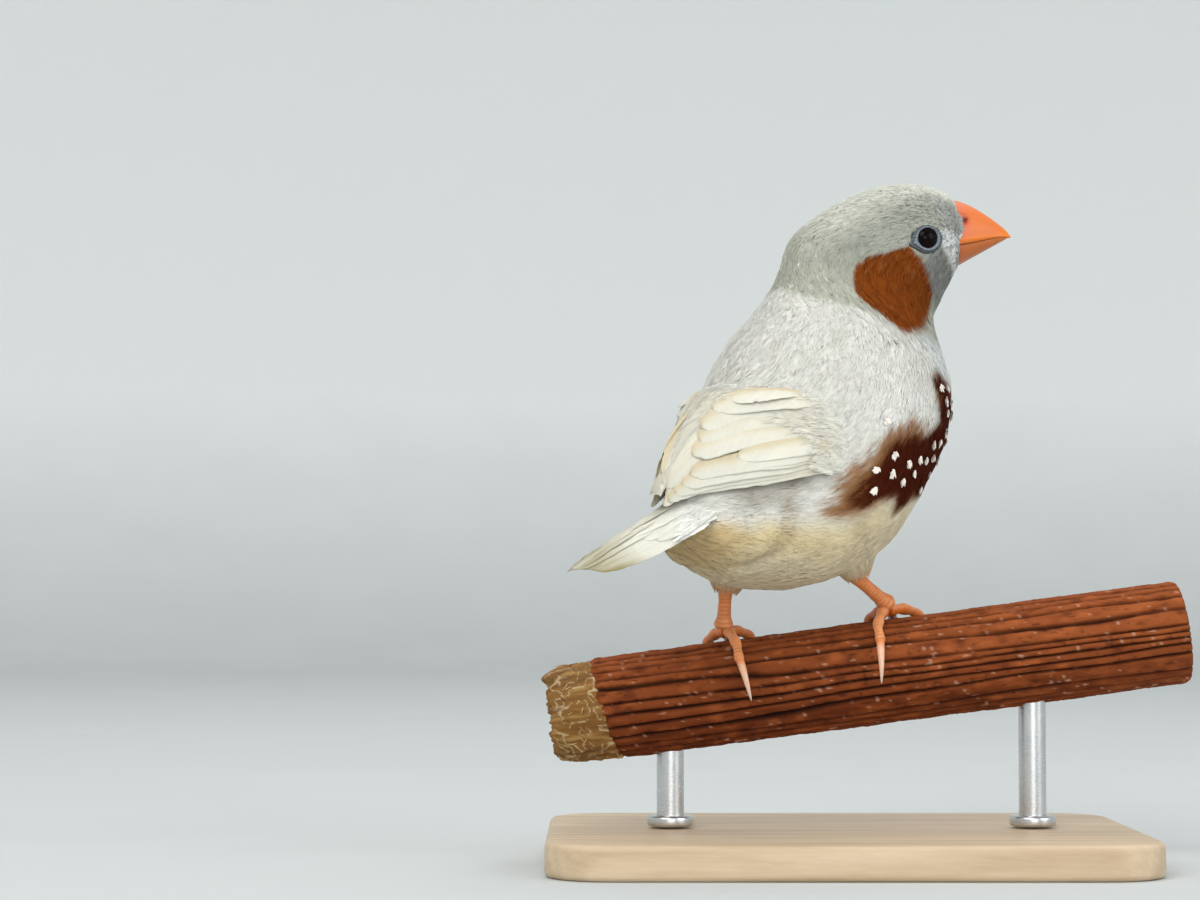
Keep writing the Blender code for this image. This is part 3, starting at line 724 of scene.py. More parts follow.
class Fold(NamedTuple):
    """A crease of the plumage: its ring at the side, how this leans, its depth and its width."""

    ring: float
    slope: float
    depth: float
    width: float

    def gap(self, place: Array, turn: Array) -> Array:
        """Return how far places by ring and turn are from the crease, in millimetres."""
        return (place - (self.ring + self.slope * (turn - 85.0) / 45.0)) * RING_MM


@dataclass
class BodyShape:
    """The bird's outline: leaning rings that turn with the neck.

    Each ring has the heading, the back's s and z, the belly's s and z, the half
    width, and how much wider the belly's side is than the back's.
    """

    stance: Stance
    rows: int = 441
    columns: int = 360
    folds: Sequence[Fold] = (
        Fold(3.88, -0.78, 0.75, 0.8), Fold(5.15, -0.10, 0.36, 1.0), Fold(2.55, -0.45, 0.34, 0.7))
    rings: Sequence[Sequence[float]] = (
        (45.0, -38.9, 51.0, -38.2, 48.2, 1.8, 0.30),
        (45.0, -38.6, 52.8, -36.6, 45.9, 3.8, 0.40),
        (45.0, -37.6, 55.2, -33.6, 43.6, 6.3, 0.50),
        (45.0, -36.1, 58.6, -28.4, 41.5, 9.4, 0.50),
        (45.0, -34.2, 62.3, -20.9, 40.1, 12.6, 0.45),
        (45.0, -31.6, 66.0, -12.4, 40.7, 15.3, 0.35),
        (45.0, -28.6, 69.3, -4.7, 43.6, 16.8, 0.22),
        (45.0, -25.8, 72.3, 1.7, 49.0, 17.2, 0.14),
        (45.0, -23.3, 75.2, 7.2, 55.0, 17.0, 0.10),
        (45.0, -20.9, 78.0, 11.4, 61.0, 16.1, 0.10),
        (44.0, -18.2, 80.6, 13.4, 67.0, 14.8, 0.10),
        (36.0, -15.4, 83.0, 12.9, 72.6, 13.2, 0.10),
        (24.0, -12.8, 85.4, 11.8, 77.4, 11.8, 0.10),
        (12.0, -11.2, 88.2, 11.6, 80.6, 10.7, 0.10),
        (6.0, -10.3, 91.2, 12.6, 82.8, 10.0, 0.08),
        (5.0, -8.6, 93.6, 13.3, 84.4, 9.6, 0.06),
        (5.0, -5.4, 96.1, 13.9, 85.4, 9.4, 0.05),
        (5.0, -1.4, 98.5, 14.3, 86.2, 9.2, 0.05),
        (5.0, 2.8, 100.1, 14.6, 86.8, 8.9, 0.05),
        (5.0, 6.8, 100.8, 14.9, 87.3, 8.3, 0.05),
        (5.0, 10.2, 100.6, 15.1, 87.7, 7.4, 0.05),
        (5.0, 13.0, 99.8, 15.3, 88.0, 6.1, 0.04),
        (5.0, 15.0, 98.7, 15.4, 88.3, 4.6, 0.0),
    )

    def __post_init__(self) -> None:
        """Work out the surface."""
        turn = circle(self.columns)
        heading, back_s, back_z, belly_s, belly_z, half, fullness = smooth_curve(
            np.array(self.rings), np.linspace(0.0, 1.0, self.rows)).T
        back = self.stance.point(back_s, 0.0, back_z, heading)
        belly = self.stance.point(belly_s, 0.0, belly_z, heading)
        side = self.stance.point(0.0, 1.0, 0.0, heading) - self.stance.point(0.0, 0.0, 0.0, heading)
        middle = ((back + belly) / 2)[:, None]
        up = ((back - belly) / 2)[:, None]
        width = np.sin(turn) * (1.0 - fullness[:, None] * np.cos(turn))
        self.surface = Surface(middle + up * np.cos(turn)[None, :, None]
                               + (side * half[:, None])[:, None] * width[..., None], True)

    @property
    def last(self) -> int:
        """The last ring's number."""
        return len(self.rings) - 1

    def fluffed(self) -> Surface:
        """Return the surface with soft swells and folds, as ruffled plumage has them.

        Returns:
            The ruffled surface.
        """
        grid = self.surface.grid
        place = (np.linspace(0.0, 1.0, self.rows) * self.last)[:, None]
        turn = turn_at(np.arange(self.columns) / self.columns)[None, :]
        soft = ramp(place, 1.0, 2.6) * ramp(place, 14.0, 10.0)
        swell = (0.30 * noise(grid, 7.0, 14) + 0.16 * noise(grid, 3.2, 15)) * soft
        low = ramp(turn, 80, 92) * ramp(turn, 172, 152)
        for fold in self.folds:
            swell = swell - fold.depth * np.exp(-(fold.gap(place, turn) / fold.width) ** 2) * low
        return Surface(grid + self.surface.normals * swell[..., None], True, self.surface.facing)

    def side_place(self, s: float, z: float, side: int) -> tuple:
        """Find the torso's surface at a place seen from one side.

        Args:
            s: Distance in front of the neck's axis.
            z: Height above the floor.
            side: 1 for the bird's right, -1 for its left.

        Returns:
            The nearest point, its normal and how far it is from the place.
        """
        half = self.surface.grid[: self.rows * 3 // 5]
        found_s, found_w, found_z = self.stance.place(half, self.stance.body_heading)
        miss = (found_s - s) ** 2 + (found_z - z) ** 2 + np.where(found_w * side > 0, 0.0, 1e6)
        row, column = np.unravel_index(np.argmin(miss), miss.shape)
        read = self.surface.read[row, column]
        return read[0:3], read[3:6], math.sqrt(miss[row, column])


def inside(place: Array, turn: Array, outline: Sequence, soft: float) -> Array:
    """Tell how far places lie inside an outline.

    Args:
        place: The places' rings.
        turn: Their turns.
        outline: Its corners, by ring and turn.
        soft: Half the width of its soft edge in millimetres.

    Returns:
        1 inside and 0 outside.
    """
    x, y = place * RING_MM, turn * TURN_MM
    corners = np.array(outline) * (RING_MM, TURN_MM)
    nearest = np.full(x.shape, 1e9)
    within = np.zeros(x.shape, dtype=bool)
    for (x1, y1), (x2, y2) in zip(corners, np.roll(corners, -1, axis=0)):
        dx, dy = x2 - x1, y2 - y1
        share = np.clip(((x - x1) * dx + (y - y1) * dy) / (dx * dx + dy * dy), 0.0, 1.0)
        nearest = np.minimum(nearest, (x - x1 - share * dx) ** 2 + (y - y1 - share * dy) ** 2)
        crosses = (y1 > y) != (y2 > y)
        with np.errstate(divide="ignore", invalid="ignore"):
            within ^= crosses & (x < x1 + (y - y1) * dx / dy)
    reach = np.sqrt(nearest)
    return ramp(np.where(within, reach, -reach), -soft, soft)


class Site(NamedTuple):
    """Places on the body by ring and turn, with the noise that varies their colours."""

    place: Array
    turn: Array
    points: Array
    broad: Array
    fine: Array
    streak: Array
    lobes: Array

    def part(self, near: Array) -> "Site":
        """Return some of the places."""
        return Site(*(values[near] for values in self))


class Markings:
    """The colours of a pale male's plumage, by ring and turn.

    In a mask, the two numbers of a ramp are the ring, or the turn in degrees, where
    a colour begins and where it has its full strength.
    """

    mantle = tone(216, 215, 208)
    nape = tone(174, 175, 161)
    crown = tone(206, 207, 195)
    head_side = tone(156, 158, 147)
    lore = tone(165, 167, 162)
    stripe = tone(234, 237, 236)
    tear = tone(126, 127, 126)
    cheek = tone(128, 64, 17)
    cheek_dark = tone(104, 48, 10)
    speck = tone(104, 104, 100)
    throat = tone(214, 218, 217)
    flank = tone(68, 22, 6)
    fringe = tone(148, 102, 60)
    spot = tone(246, 236, 226)
    buff = tone(218, 197, 150)
    belly = tone(222, 210, 178)
    vent = tone(214, 186, 138)
    # Grey down under the wing, used just below the wing's edge as painted shadow.
    down = tone(138, 130, 117)
    # Painted shade along the plumage's folds.
    crease = tone(146, 124, 90)
    # Pale cream low on the belly, partly its own colour and partly painted light on the shaded underside.
    under = tone(240, 230, 202)
    white = tone(240, 240, 234)
    cuff = tone(224, 168, 124)

    head_edge = (
        (0, 11.6), (22, 11.05), (41, 10.93), (61, 11.1), (76, 10.85), (108, 11.2), (137, 11.4), (180, 11.5))
    cheek_outline = (
        (16.45, 100), (15.8, 95), (15.2, 91), (14.55, 82), (13.7, 76), (12.8, 71), (12.0, 67), (11.5, 72),
        (11.15, 79), (10.8, 84), (11.0, 94), (11.65, 114), (12.4, 133), (13.1, 147), (14.2, 143),
        (15.35, 130), (16.15, 114),
    )
    flank_outline = (
        (4.75, 97), (5.7, 88), (6.6, 87), (7.2, 90), (7.7, 97), (8.1, 108), (8.6, 113), (9.0, 104),
        (9.55, 96), (9.95, 104), (9.85, 122), (9.7, 150), (9.65, 196), (9.0, 196), (8.7, 160), (8.2, 146),
        (7.3, 139), (6.6, 121), (6.3, 120), (5.9, 117), (6.1, 109), (5.73, 104), (5.2, 103),
    )
    flank_spots = (
        (6.8, 94), (6.12, 91), (6.43, 99), (7.0, 104), (6.58, 107), (7.0, 111), (5.78, 98), (7.38, 110),
        (7.55, 115), (7.83, 121), (8.08, 132), (8.05, 116), (8.33, 123), (7.3, 81), (7.6, 129), (7.08, 125),
        (9.4, 105), (9.62, 112), (9.22, 112), (9.5, 122), (9.28, 131), (9.05, 118), (8.72, 126),
        (9.55, 140), (9.25, 149), (9.5, 158), (9.2, 168), (8.85, 141),
    )

    def __init__(self, shape: BodyShape) -> None:
        """Keep the body's shape."""
        self.shape = shape

    def paint(self, u: Array, v: Array, points: Array) -> Array:
        """Return the plumage's colour.

        Args:
            u: Places along the body's surface.
            v: Places round it.
            points: Its points there, in millimetres.

        Returns:
            A colour for each place.
        """
        place, turn = u * self.shape.last, turn_at(v)
        streak = noise(joined(place * 5.0, v * 360.0 * 0.9, 0.0), 1.0, 3)
        lobes = noise(joined(place * 1.6, turn * 0.01, 0.0), 1.0, 10)
        site = Site(place, turn, points, noise(points, 3.5, 1), noise(points, 0.8, 2), streak, lobes)
        colour = self.body(site)
        fold = np.interp(turn, *np.array(self.head_edge).T)
        head = ramp(place - fold + site.fine * 0.10 + site.broad * 0.08, -0.30, 0.42)
        colour = self.face(site, over(colour, self.head(site), head))
        return self.flanks(site, self.cheeks(site, colour))

    def body(self, site: Site) -> Array:
        """Return the colour of back, rump, throat and belly, with painted shade and painted light.

        Args:
            site: The places to paint.

        Returns:
            A colour for each place.
        """
        place, turn, _, broad, fine, _, lobes = site
        colour = over(self.mantle, self.nape, 0.30 * ramp(broad + fine * 0.4, 0.0, 1.0))
        colour = over(colour, self.throat, ramp(turn, 92, 112) * ramp(place, 9.3, 10.0) * 0.8)
        low = ramp(turn + broad * 7.0 + lobes * 11.0, 82, 108) * ramp(place - broad * 0.3, 7.6, 6.4)
        colour = over(colour, self.belly, low)
        colour = over(colour, self.buff, low * ramp(place - broad * 0.5, 6.2, 4.6)
                      * (0.80 + 0.2 * broad) * ramp(turn + lobes * 12.0, 86, 112))
        # Painted shade along each fold, darker where the fold is deeper.
        for fold in self.shape.folds:
            crease = np.exp(-(fold.gap(place, turn) / (fold.width * 0.9)) ** 2) * fold.depth
            crease = crease * ramp(turn, 74, 88) * ramp(turn, 172, 152)
            colour = over(colour, self.crease, np.clip(crease * 0.85, 0, 0.6))
        # Paler cream low on the belly, partly its own colour and partly painted light on the shaded underside.
        colour = over(colour, self.under,
                      ramp(turn, 108, 150) * ramp(place, 1.5, 3.5) * ramp(place, 7.5, 6.0) * 0.85)
        colour = over(colour, self.vent, ramp(turn, 70, 120) * ramp(place, 2.9, 1.5) * 0.8)
        # Grey down under the wing, laid just below the wing's edge as painted shadow.
        wing_shadow_mask = ramp(turn, 48, 66) * ramp(turn - lobes * 5, 92, 78) * ramp(place, 5.2, 4.4)
        colour = over(colour, self.down,
                      wing_shadow_mask * ramp(place, 2.2, 3.4) * np.clip(0.62 + 0.4 * broad, 0, 1))
        return over(colour, self.white,
                    ramp(place, 6.4, 7.4) * ramp(place, 9.2, 8.4) * ramp(turn, 60, 80) * 0.6)

    def head(self, site: Site) -> Array:
        """Return the grey of nape, crown and head sides, with its pale specks.

        Args:
            site: The places to paint.

        Returns:
            A colour for each place.
        """
        place, turn, points, broad, fine, streak, _ = site
        grey = over(self.nape, self.crown, ramp(place + broad * 0.5, 13.0, 16.0))
        grey = over(grey, self.head_side, ramp(turn, 38, 72) * ramp(place, 11.5, 14.5) * 0.85)
        grey = grey * (1.0 + 0.06 * streak + 0.03 * fine)[..., None]
        brow = ramp(place, 16.8, 18.2) * ramp(turn, 36, 60) * ramp(turn, 104, 84)
        grey = over(grey, self.speck, brow * ramp(noise(points, 0.36, 4), 0.22, 0.55) * 0.75)
        return over(grey, self.white, ramp(turn, 60, 40) * ramp(noise(points, 0.6, 5), 0.5, 0.7) * 0.7)

    def face(self, site: Site, colour: Array) -> Array:
        """Add the lores, the tear mark and the white stripe before it to a colour.

        Args:
            site: The places to paint.
            colour: The colour so far.

        Returns:
            The colour with these marks.
        """
        place, turn, points, _, fine, _, _ = site
        colour = over(colour, self.lore, ramp(place, 19.0, 20.4) * ramp(turn, 35, 60) * 0.8)
        tear = ramp(place, 13.4, 14.0) * ramp(place - fine * 0.2, 18.1, 17.5) * ramp(turn, 112, 126)
        colour = over(colour, self.tear, tear * np.clip(0.85 + 0.3 * fine, 0, 1))
        edge = np.exp(-((place - 17.8 - 0.02 * (128 - turn)) / 0.28) ** 2) * ramp(turn, 104, 116)
        colour = over(colour, self.speck, edge * np.clip(0.6 + 0.6 * fine, 0, 1))
        colour = over(colour, self.stripe, ramp(place, 18.0, 18.6) * ramp(turn, 94, 108)
                      * (0.95 - 0.35 * ramp(fine, 0.3, 0.8)))
        fleck = ramp(place, 18.0, 19.0) * ramp(turn, 84, 100) * ramp(noise(points, 0.45, 6), 0.25, 0.5)
        return over(colour, self.speck, fleck * 0.65)

    def cheeks(self, site: Site, colour: Array) -> Array:
        """Add the rust patch behind the tear mark to a colour.

        Args:
            site: The places to paint.
            colour: The colour so far.

        Returns:
            The colour with the patch.
        """
        near = (site.place > 10.0) & (site.place < 17.2) & (site.turn > 55)
        place, turn, points, _, fine, streak, _ = site.part(near)
        rust = over(self.cheek, self.cheek_dark, ramp(streak + fine * 0.5, -0.5, 0.9))
        pale = ramp(noise(points * (1.0, 1.0, 0.6), 0.42, 7), 0.35, 0.75)
        rust = over(rust, self.fringe, pale * 0.34)
        colour[near] = over(colour[near], rust, inside(place, turn + fine, self.cheek_outline, 0.30))
        return colour

    def flanks(self, site: Site, colour: Array) -> Array:
        """Add the chestnut flank with its paler halo to a colour.

        Args:
            site: The places to paint.
            colour: The colour so far.

        Returns:
            The colour with the flank.
        """
        near = (site.place > 3.8) & (site.place < 10.6) & (site.turn > 70)
        mask, halo = np.zeros(near.shape), np.zeros(near.shape)
        place, turn, _, broad, *_ = site.part(near)
        shift = broad * 0.25
        mask[near] = inside(place + shift * 0.3, turn + shift * 6, self.flank_outline, 0.55)
        halo[near] = inside(place, turn + shift * 8, self.flank_outline, 3.0)
        place, turn, _, broad, _, streak, _ = site
        upper = ramp(turn, 112, 100) * ramp(place, 8.6, 7.8)
        colour = over(colour, self.fringe, ramp(halo + streak * 0.14, 0.02, 0.38) * upper * 0.92)
        rear = ramp(place - broad * 0.3, 6.4, 4.8) * 0.22 * (0.6 + 0.5 * streak)
        wear_and_shade = ramp(halo - streak * 0.2, 0.74, 0.34) * 0.8
        return over(colour, over(self.flank, self.fringe, np.clip(wear_and_shade + rear, 0, 1)), mask)


class CoatStyle(NamedTuple):
    """How one kind of small feather is made."""

    length: float
    spread: float
    barb_width: float
    lift: float
    barbs: int


class FeatherCoat:
    """Small feathers, each a soft vane with a fringe of barbs, laid on a surface."""

    stations = np.array((0.0, 0.38, 0.76, 1.0))
    widths = np.array((0.0, 1.0, 0.72, 0.0))
    # Brightness from root to tip: darker at the root, as painted shade where a feather goes under its
    # neighbours.
    shades = np.array((0.94, 0.98, 1.0, 1.01))
    order = (0, 1, 1, 1, 2, 2, 2, 3)
    lean = np.array((0.0, 1.0, 0.0, -1.0, 1.0, 0.0, -1.0, 0.0))
    faces = np.array((
        (0, 2, 1), (0, 3, 2), (0, 1, 3), (1, 2, 5), (1, 5, 4), (2, 3, 6), (2, 6, 5), (3, 1, 4), (3, 4, 6),
        (4, 5, 7), (5, 6, 7), (6, 4, 7)))
    crowding = 3.2
    closeness = 0.80
    vane_length = 0.80
    vane_width = 0.62
    vane_sunk = 0.26
    softness = 0.16
    ridge = 0.35
    map_patch = 0.003

    def __init__(self, surface: Surface, lie: float, paint: Callable, seed: int) -> None:
        """Start a coat.

        Args:
            surface: What the feathers lie on.
            lie: 1 where they point along the surface's u, -1 where they point against it.
            paint: Gives the colour at u, v and a point.
            seed: Picks the random draws.
        """
        self.surface = surface
        self.lie = lie
        self.paint = paint
        self.draw = np.random.default_rng(seed)

    def roots(self, spacing: Callable, keep: Callable) -> tuple:
        """Scatter roots over the surface, no nearer than their spacing.

        Args:
            spacing: Gives the spacing in millimetres at u and v.
            keep: Tells where feathers grow at u, v and a point.

        Returns:
            The roots' u and v.
        """
        rows, columns = self.surface.grid.shape[:2]
        rows, columns = rows - 1, columns if self.surface.closed else columns - 1
        u, v = np.meshgrid((np.arange(rows) + 0.5) / rows, (np.arange(columns) + 0.5) / columns,
                           indexing="ij")
        spot = self.surface.at(u, v)
        wanted = spot.along_mm * spot.across_mm / u.size / spacing(u, v) ** 2
        count = int(wanted.sum() * self.crowding)
        picked = self.draw.choice(u.size, count, p=(wanted / wanted.sum()).ravel())
        u = u.ravel()[picked] + self.draw.uniform(-0.5, 0.5, count) / rows
        v = v.ravel()[picked] + self.draw.uniform(-0.5, 0.5, count) / columns
        points = self.surface.at(u, v).point
        grown = keep(u, v, points)
        u, v, points = u[grown], v[grown], points[grown]
        kept = self.thinned(points, spacing(u, v) * self.closeness)
        return u[kept], v[kept]

    @staticmethod
    def thinned(points: Array, room: Array) -> list:
        """Pick points that leave each other room.

        Args:
            points: The points in millimetres, the first ones first served.
            room: The distance that each keeps from those picked before it.

        Returns:
            The numbers of the picked points.
        """
        taken: dict = {}
        kept = []
        around = list(itertools.product((-1, 0, 1), repeat=3))
        for k, (x, y, z) in enumerate(np.floor(points / float(room.max())).astype(int)):
            rivals = (other for dx, dy, dz in around
                      for other in taken.get((x + dx, y + dy, z + dz), ()))
            gaps = (points[k] - points[other] for other in rivals)
            if not any(gap @ gap < room[k] ** 2 for gap in gaps):
                taken.setdefault((x, y, z), []).append(k)
                kept.append(k)
        return kept

    def fan(self, scale: Array, yaw: Array, style: CoatStyle) -> tuple:
        """Spread each feather's barbs round its shaft.

        Args:
            scale: Each feather's share of the style's size.
            yaw: How far each feather turns from the lie, in radians.
            style: The kind of feather.

        Returns:
            How far the barbs' stations lie ahead and aside of the root in
            millimetres, and each barb's place in the fan from -1 to 1.
        """
        count, barbs, draw = len(scale), style.barbs + 1, self.draw
        fan = np.concatenate(([0.0], np.linspace(-1.0, 1.0, style.barbs)))
        fan = fan[None, :] + draw.normal(0.0, 0.16, (count, barbs)) * (np.arange(barbs) > 0)
        reach = (1.0 - 0.30 * fan ** 2) * (1.0 + draw.normal(0.0, 0.13, (count, barbs)))
        reach[:, 0] = self.vane_length
        size = scale[:, None, None]
        f = self.stations
        x = style.length * size * reach[..., None] * f
        y = style.spread * size * fan[..., None] * (0.25 * f + 0.75 * f ** 1.3)
        y = y + draw.normal(0.0, 0.03, (count, barbs, 1)) * x
        turn = yaw[:, None, None]
        return x * np.cos(turn) - y * np.sin(turn), x * np.sin(turn) + y * np.cos(turn), fan

    def places(self, u: Array, v: Array, fan: Array) -> Array:
        """Return a small patch of the map for each feather, with a place for each of its points.

        Args:
            u: The roots' places along the surface.
            v: Their places across it.
            fan: Each barb's place in the fan.

        Returns:
            The map places.
        """
        across = v % 1.0 if self.surface.closed else np.clip(v, 0, 1)
        patch_u, patch_v = ((MAP_MARGIN + MAP_ROOM * c)[:, None, None]
                            for c in (np.clip(u, 0, 1), across))
        return joined(patch_u + (self.stations[list(self.order)] - 0.5) * self.map_patch,
                      patch_v + (fan[..., None] * 0.35 - self.lean * 0.12) * self.map_patch)

    def lay(self, data: MeshData, u: Array, v: Array, depth: Array, style: CoatStyle, scale: Array,
            yaw: Array, lift: Optional[Array] = None, tints: Optional[Array] = None) -> None:
        """Add feathers at their roots.

        Args:
            data: What the feathers are added to.
            u: The roots' places along the surface.
            v: The roots' places across it.
            depth: How far each root lies under the surface, in millimetres.
            style: The kind of feather.
            scale: Each feather's share of the style's size.
            yaw: How far each feather turns from the lie, in radians.
            lift: How far each tip stands over the surface, or the style's lift.
            tints: One colour for each feather, or the surface's own.
        """
        count, barbs, draw = len(u), style.barbs + 1, self.draw
        if not count:
            return
        ahead, aside, fan = self.fan(scale, yaw, style)
        root = self.surface.at(u, v)
        su = u[:, None, None] + self.lie * ahead / root.along_mm[:, None, None]
        sv = v[:, None, None] + aside / root.across_mm[:, None, None]
        spot = self.surface.at(su, sv)
        proud = np.full(count, style.lift) if lift is None else lift
        proud = (proud * draw.uniform(0.6, 1.3, count))[:, None]
        proud = proud + draw.normal(0.0, 0.035, (count, barbs))
        proud[:, 0] -= self.vane_sunk
        sunk = depth[:, None, None]
        height = -sunk + (sunk + proud[..., None]) * (1.0 - (1.0 - self.stations) ** 1.7)
        middle = spot.point + spot.normal * height[..., None]
        way = unit(np.gradient(middle, axis=2))
        wide = unit(np.cross(spot.normal, way))
        broad = np.full(barbs, style.barb_width)
        broad[0] = style.spread * self.vane_width
        half = broad[None, :, None] * scale[:, None, None] * self.widths
        left, right = middle + wide * half[..., None], middle - wide * half[..., None]
        top = middle + spot.normal * (half * self.ridge + 0.02)[..., None]
        points = np.stack((middle[:, :, 0], left[:, :, 1], top[:, :, 1], right[:, :, 1],
                           left[:, :, 2], top[:, :, 2], right[:, :, 2], middle[:, :, 3]), axis=2)
        own = self.paint(su, sv, spot.point) if tints is None else tints[:, None, None, :]
        # Painted shade towards each root, with a little random tone for each barb and each feather.
        shade = self.shades * (1.0 + draw.normal(0.0, 0.022, (count, barbs)))[..., None]
        shade = shade * (1.0 + draw.normal(0.0, 0.018, count))[:, None, None]
        own = own * shade[..., None]
        order = self.order
        lean = (self.lean * self.softness)[:, None]
        facing = unit(spot.normal[:, :, order] + wide[:, :, order] * lean + way[:, :, order] * 0.12)
        first = np.arange(count * barbs)[:, None, None] * len(order)
        data.add(points, (self.faces + first).reshape(-1, 3), own[:, :, order], self.places(u, v, fan),
                 facing)

    def grow(self, data: MeshData, spacing: float, keep: Callable, depth: float, style: CoatStyle,
             sizes: Sequence[float], yaws: Sequence[float], lift: Optional[Callable] = None,
             taper: Optional[Callable] = None) -> None:
        """Scatter feathers of one kind over the surface.

        Args:
            data: What the feathers are added to.
            spacing: Their spacing in millimetres.
            keep: Tells where they grow at u, v and a point.
            depth: How far the roots lie under the surface, in millimetres.
            style: The kind of feather.
            sizes: The least and the greatest share of the style's size.
            yaws: The middle and the spread of their turns from the lie, in radians.
            lift: Gives the tips' height at u, or else the style does.
            taper: Gives a further share of the size at u.
        """
        u, v = self.roots(lambda u, v: np.full(u.shape, spacing), keep)
        scale = self.draw.uniform(*sizes, len(u)) * (taper(u) if taper else 1.0)
        self.lay(data, u, v, np.full(len(u), depth), style, scale, self.draw.normal(*yaws, len(u)),
                 lift(u) if lift else None)


@dataclass
class Eye:
    """One eye: a dark glossy ball in a ring of bare lids."""

    stance: Stance
    shape: BodyShape
    side: int
    name: str
    radius: float = 2.1
    opening: float = 1.46
    ring_half_length: float = 2.45
    ring_half_height: float = 2.10
    ring_drop: float = 0.18
    corner_turn: float = 197.0
    corner_reach: float = 0.55
    ring_rise: float = 0.42
    ring_steps: int = 120
    head_radius: float = 11.0
    profile: Sequence = (
        (0.00, -1.00, 0.10), (0.00, -0.12, 0.05), (0.05, 0.16, 0.15), (0.14, 0.50, 0.75), (0.30, 0.80, 1.0),
        (0.46, 0.86, 0.85), (0.58, 0.62, 0.30), (0.68, 0.56, 0.20), (0.80, 0.60, 0.55), (0.92, 0.34, 0.20),
        (1.00, 0.05, 0.10), (1.02, -1.2, 0.1))

    def __post_init__(self) -> None:
        """Read the ball's place from its solid."""
        low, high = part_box("eye_" + self.name)
        self.centre = np.array((low + high) / 2) / MM
        surface = self.shape.surface
        gap = ((surface.grid - self.centre) ** 2).sum(axis=-1)
        row, column = np.unravel_index(np.argmin(gap), gap.shape)
        self.normal = surface.normals[row, column]
        self.sunk = math.sqrt(gap[row, column])
        heading = math.radians(self.stance.head_heading)
        ahead = np.array((math.cos(heading), math.sin(heading), 0.0))
        self.up = unit(np.array((0.0, 0.0, 1.0)) - self.normal * self.normal[2])
        self.ahead = unit(ahead - self.normal * (ahead @ self.normal) - self.up * (ahead @ self.up))

    def outer(self, turn: Array) -> Array:
        """Return the ring's outer radius at a turn from ahead to above.

        Args:
            turn: The turns, in radians.

        Returns:
            The radius in millimetres.
        """
        a, b = self.ring_half_length, self.ring_half_height
        plain = a * b / np.sqrt((b * np.cos(turn)) ** 2 + (a * np.sin(turn)) ** 2)
        away = (np.degrees(turn) - self.corner_turn + 180.0) % 360.0 - 180.0
        return plain + self.corner_reach * np.exp(-(away / 15.0) ** 2)

    def clear(self, points: Array, margin: float) -> Array:
        """Tell which points lie outside the ring by a margin in millimetres.

        Args:
            points: Points in millimetres.
            margin: How far outside they have to be.

        Returns:
            True where a point is clear of the ring.
        """
        away = points - self.centre
        x, y, n = away @ self.ahead, away @ self.up + self.ring_drop, away @ self.normal
        return (np.hypot(x, y) > self.outer(np.arctan2(y, x) % (2 * math.pi)) + margin) | (n < -1.0)

    def ball(self, material: Material) -> None:
        """Make the ball.

        Args:
            material: The pieces' material.
        """
        bpy.ops.object.select_all(action="DESELECT")
        bpy.ops.mesh.primitive_uv_sphere_add(segments=64, ring_count=32, radius=self.radius * MM)
        made = bpy.context.object
        made.name = "eyeball_" + self.name
        turn = Vector(self.normal).to_track_quat("Z", "Y").to_matrix().to_4x4()
        made.data.transform(Matrix.Translation(Vector(self.centre * MM)) @ turn)
        made.data.shade_smooth()
        made.data.materials.append(material)
        place_piece(made, ["eye_" + self.name])

    def lids(self, material: Material) -> None:
        """Make the ring of beaded lids, which follows the ball inside and the head outside.

        Args:
            material: The pieces' material.
        """
        share, height, light = (column[:, None] for column in np.array(self.profile).T)
        turns = circle(self.ring_steps)
        reach = self.opening + (self.outer(turns)[None] - self.opening) * share
        beads = 0.09 * np.sin(turns * 27 + 1.0) + 0.05 * np.sin(turns * 41)
        rise = height * self.ring_rise + beads[None] * (height > 0.5)
        x, y = reach * np.cos(turns), reach * np.sin(turns) - self.ring_drop * share
        dome = np.sqrt(np.maximum(self.radius ** 2 - np.minimum(reach, 1.95) ** 2, 0.0))
        level = np.where(share < 0.3, dome * (1 - share / 0.3) + self.sunk * (share / 0.3), self.sunk)
        bend = (x ** 2 + y ** 2) / (2 * self.head_radius) * np.clip(share, 0.0, 1.0)
        spot = self.centre + x[..., None] * self.ahead + y[..., None] * self.up
        spot = spot + (level - 0.05 + rise - bend)[..., None] * self.normal
        pale, dark = tone(122, 131, 139), tone(44, 46, 50)
        tints = over(dark, pale, light) * (1.0 + 0.22 * noise(spot, 0.4, 7))[..., None]
        ring = np.concatenate((spot, spot[:1]))
        faces = grid_faces(len(ring), self.ring_steps)
        data = MeshData()
        data.add(ring, faces if self.side < 0 else faces[:, ::-1], np.concatenate((tints, tints[:1])))
        data.piece("lids_" + self.name, material, Slot.GREY)


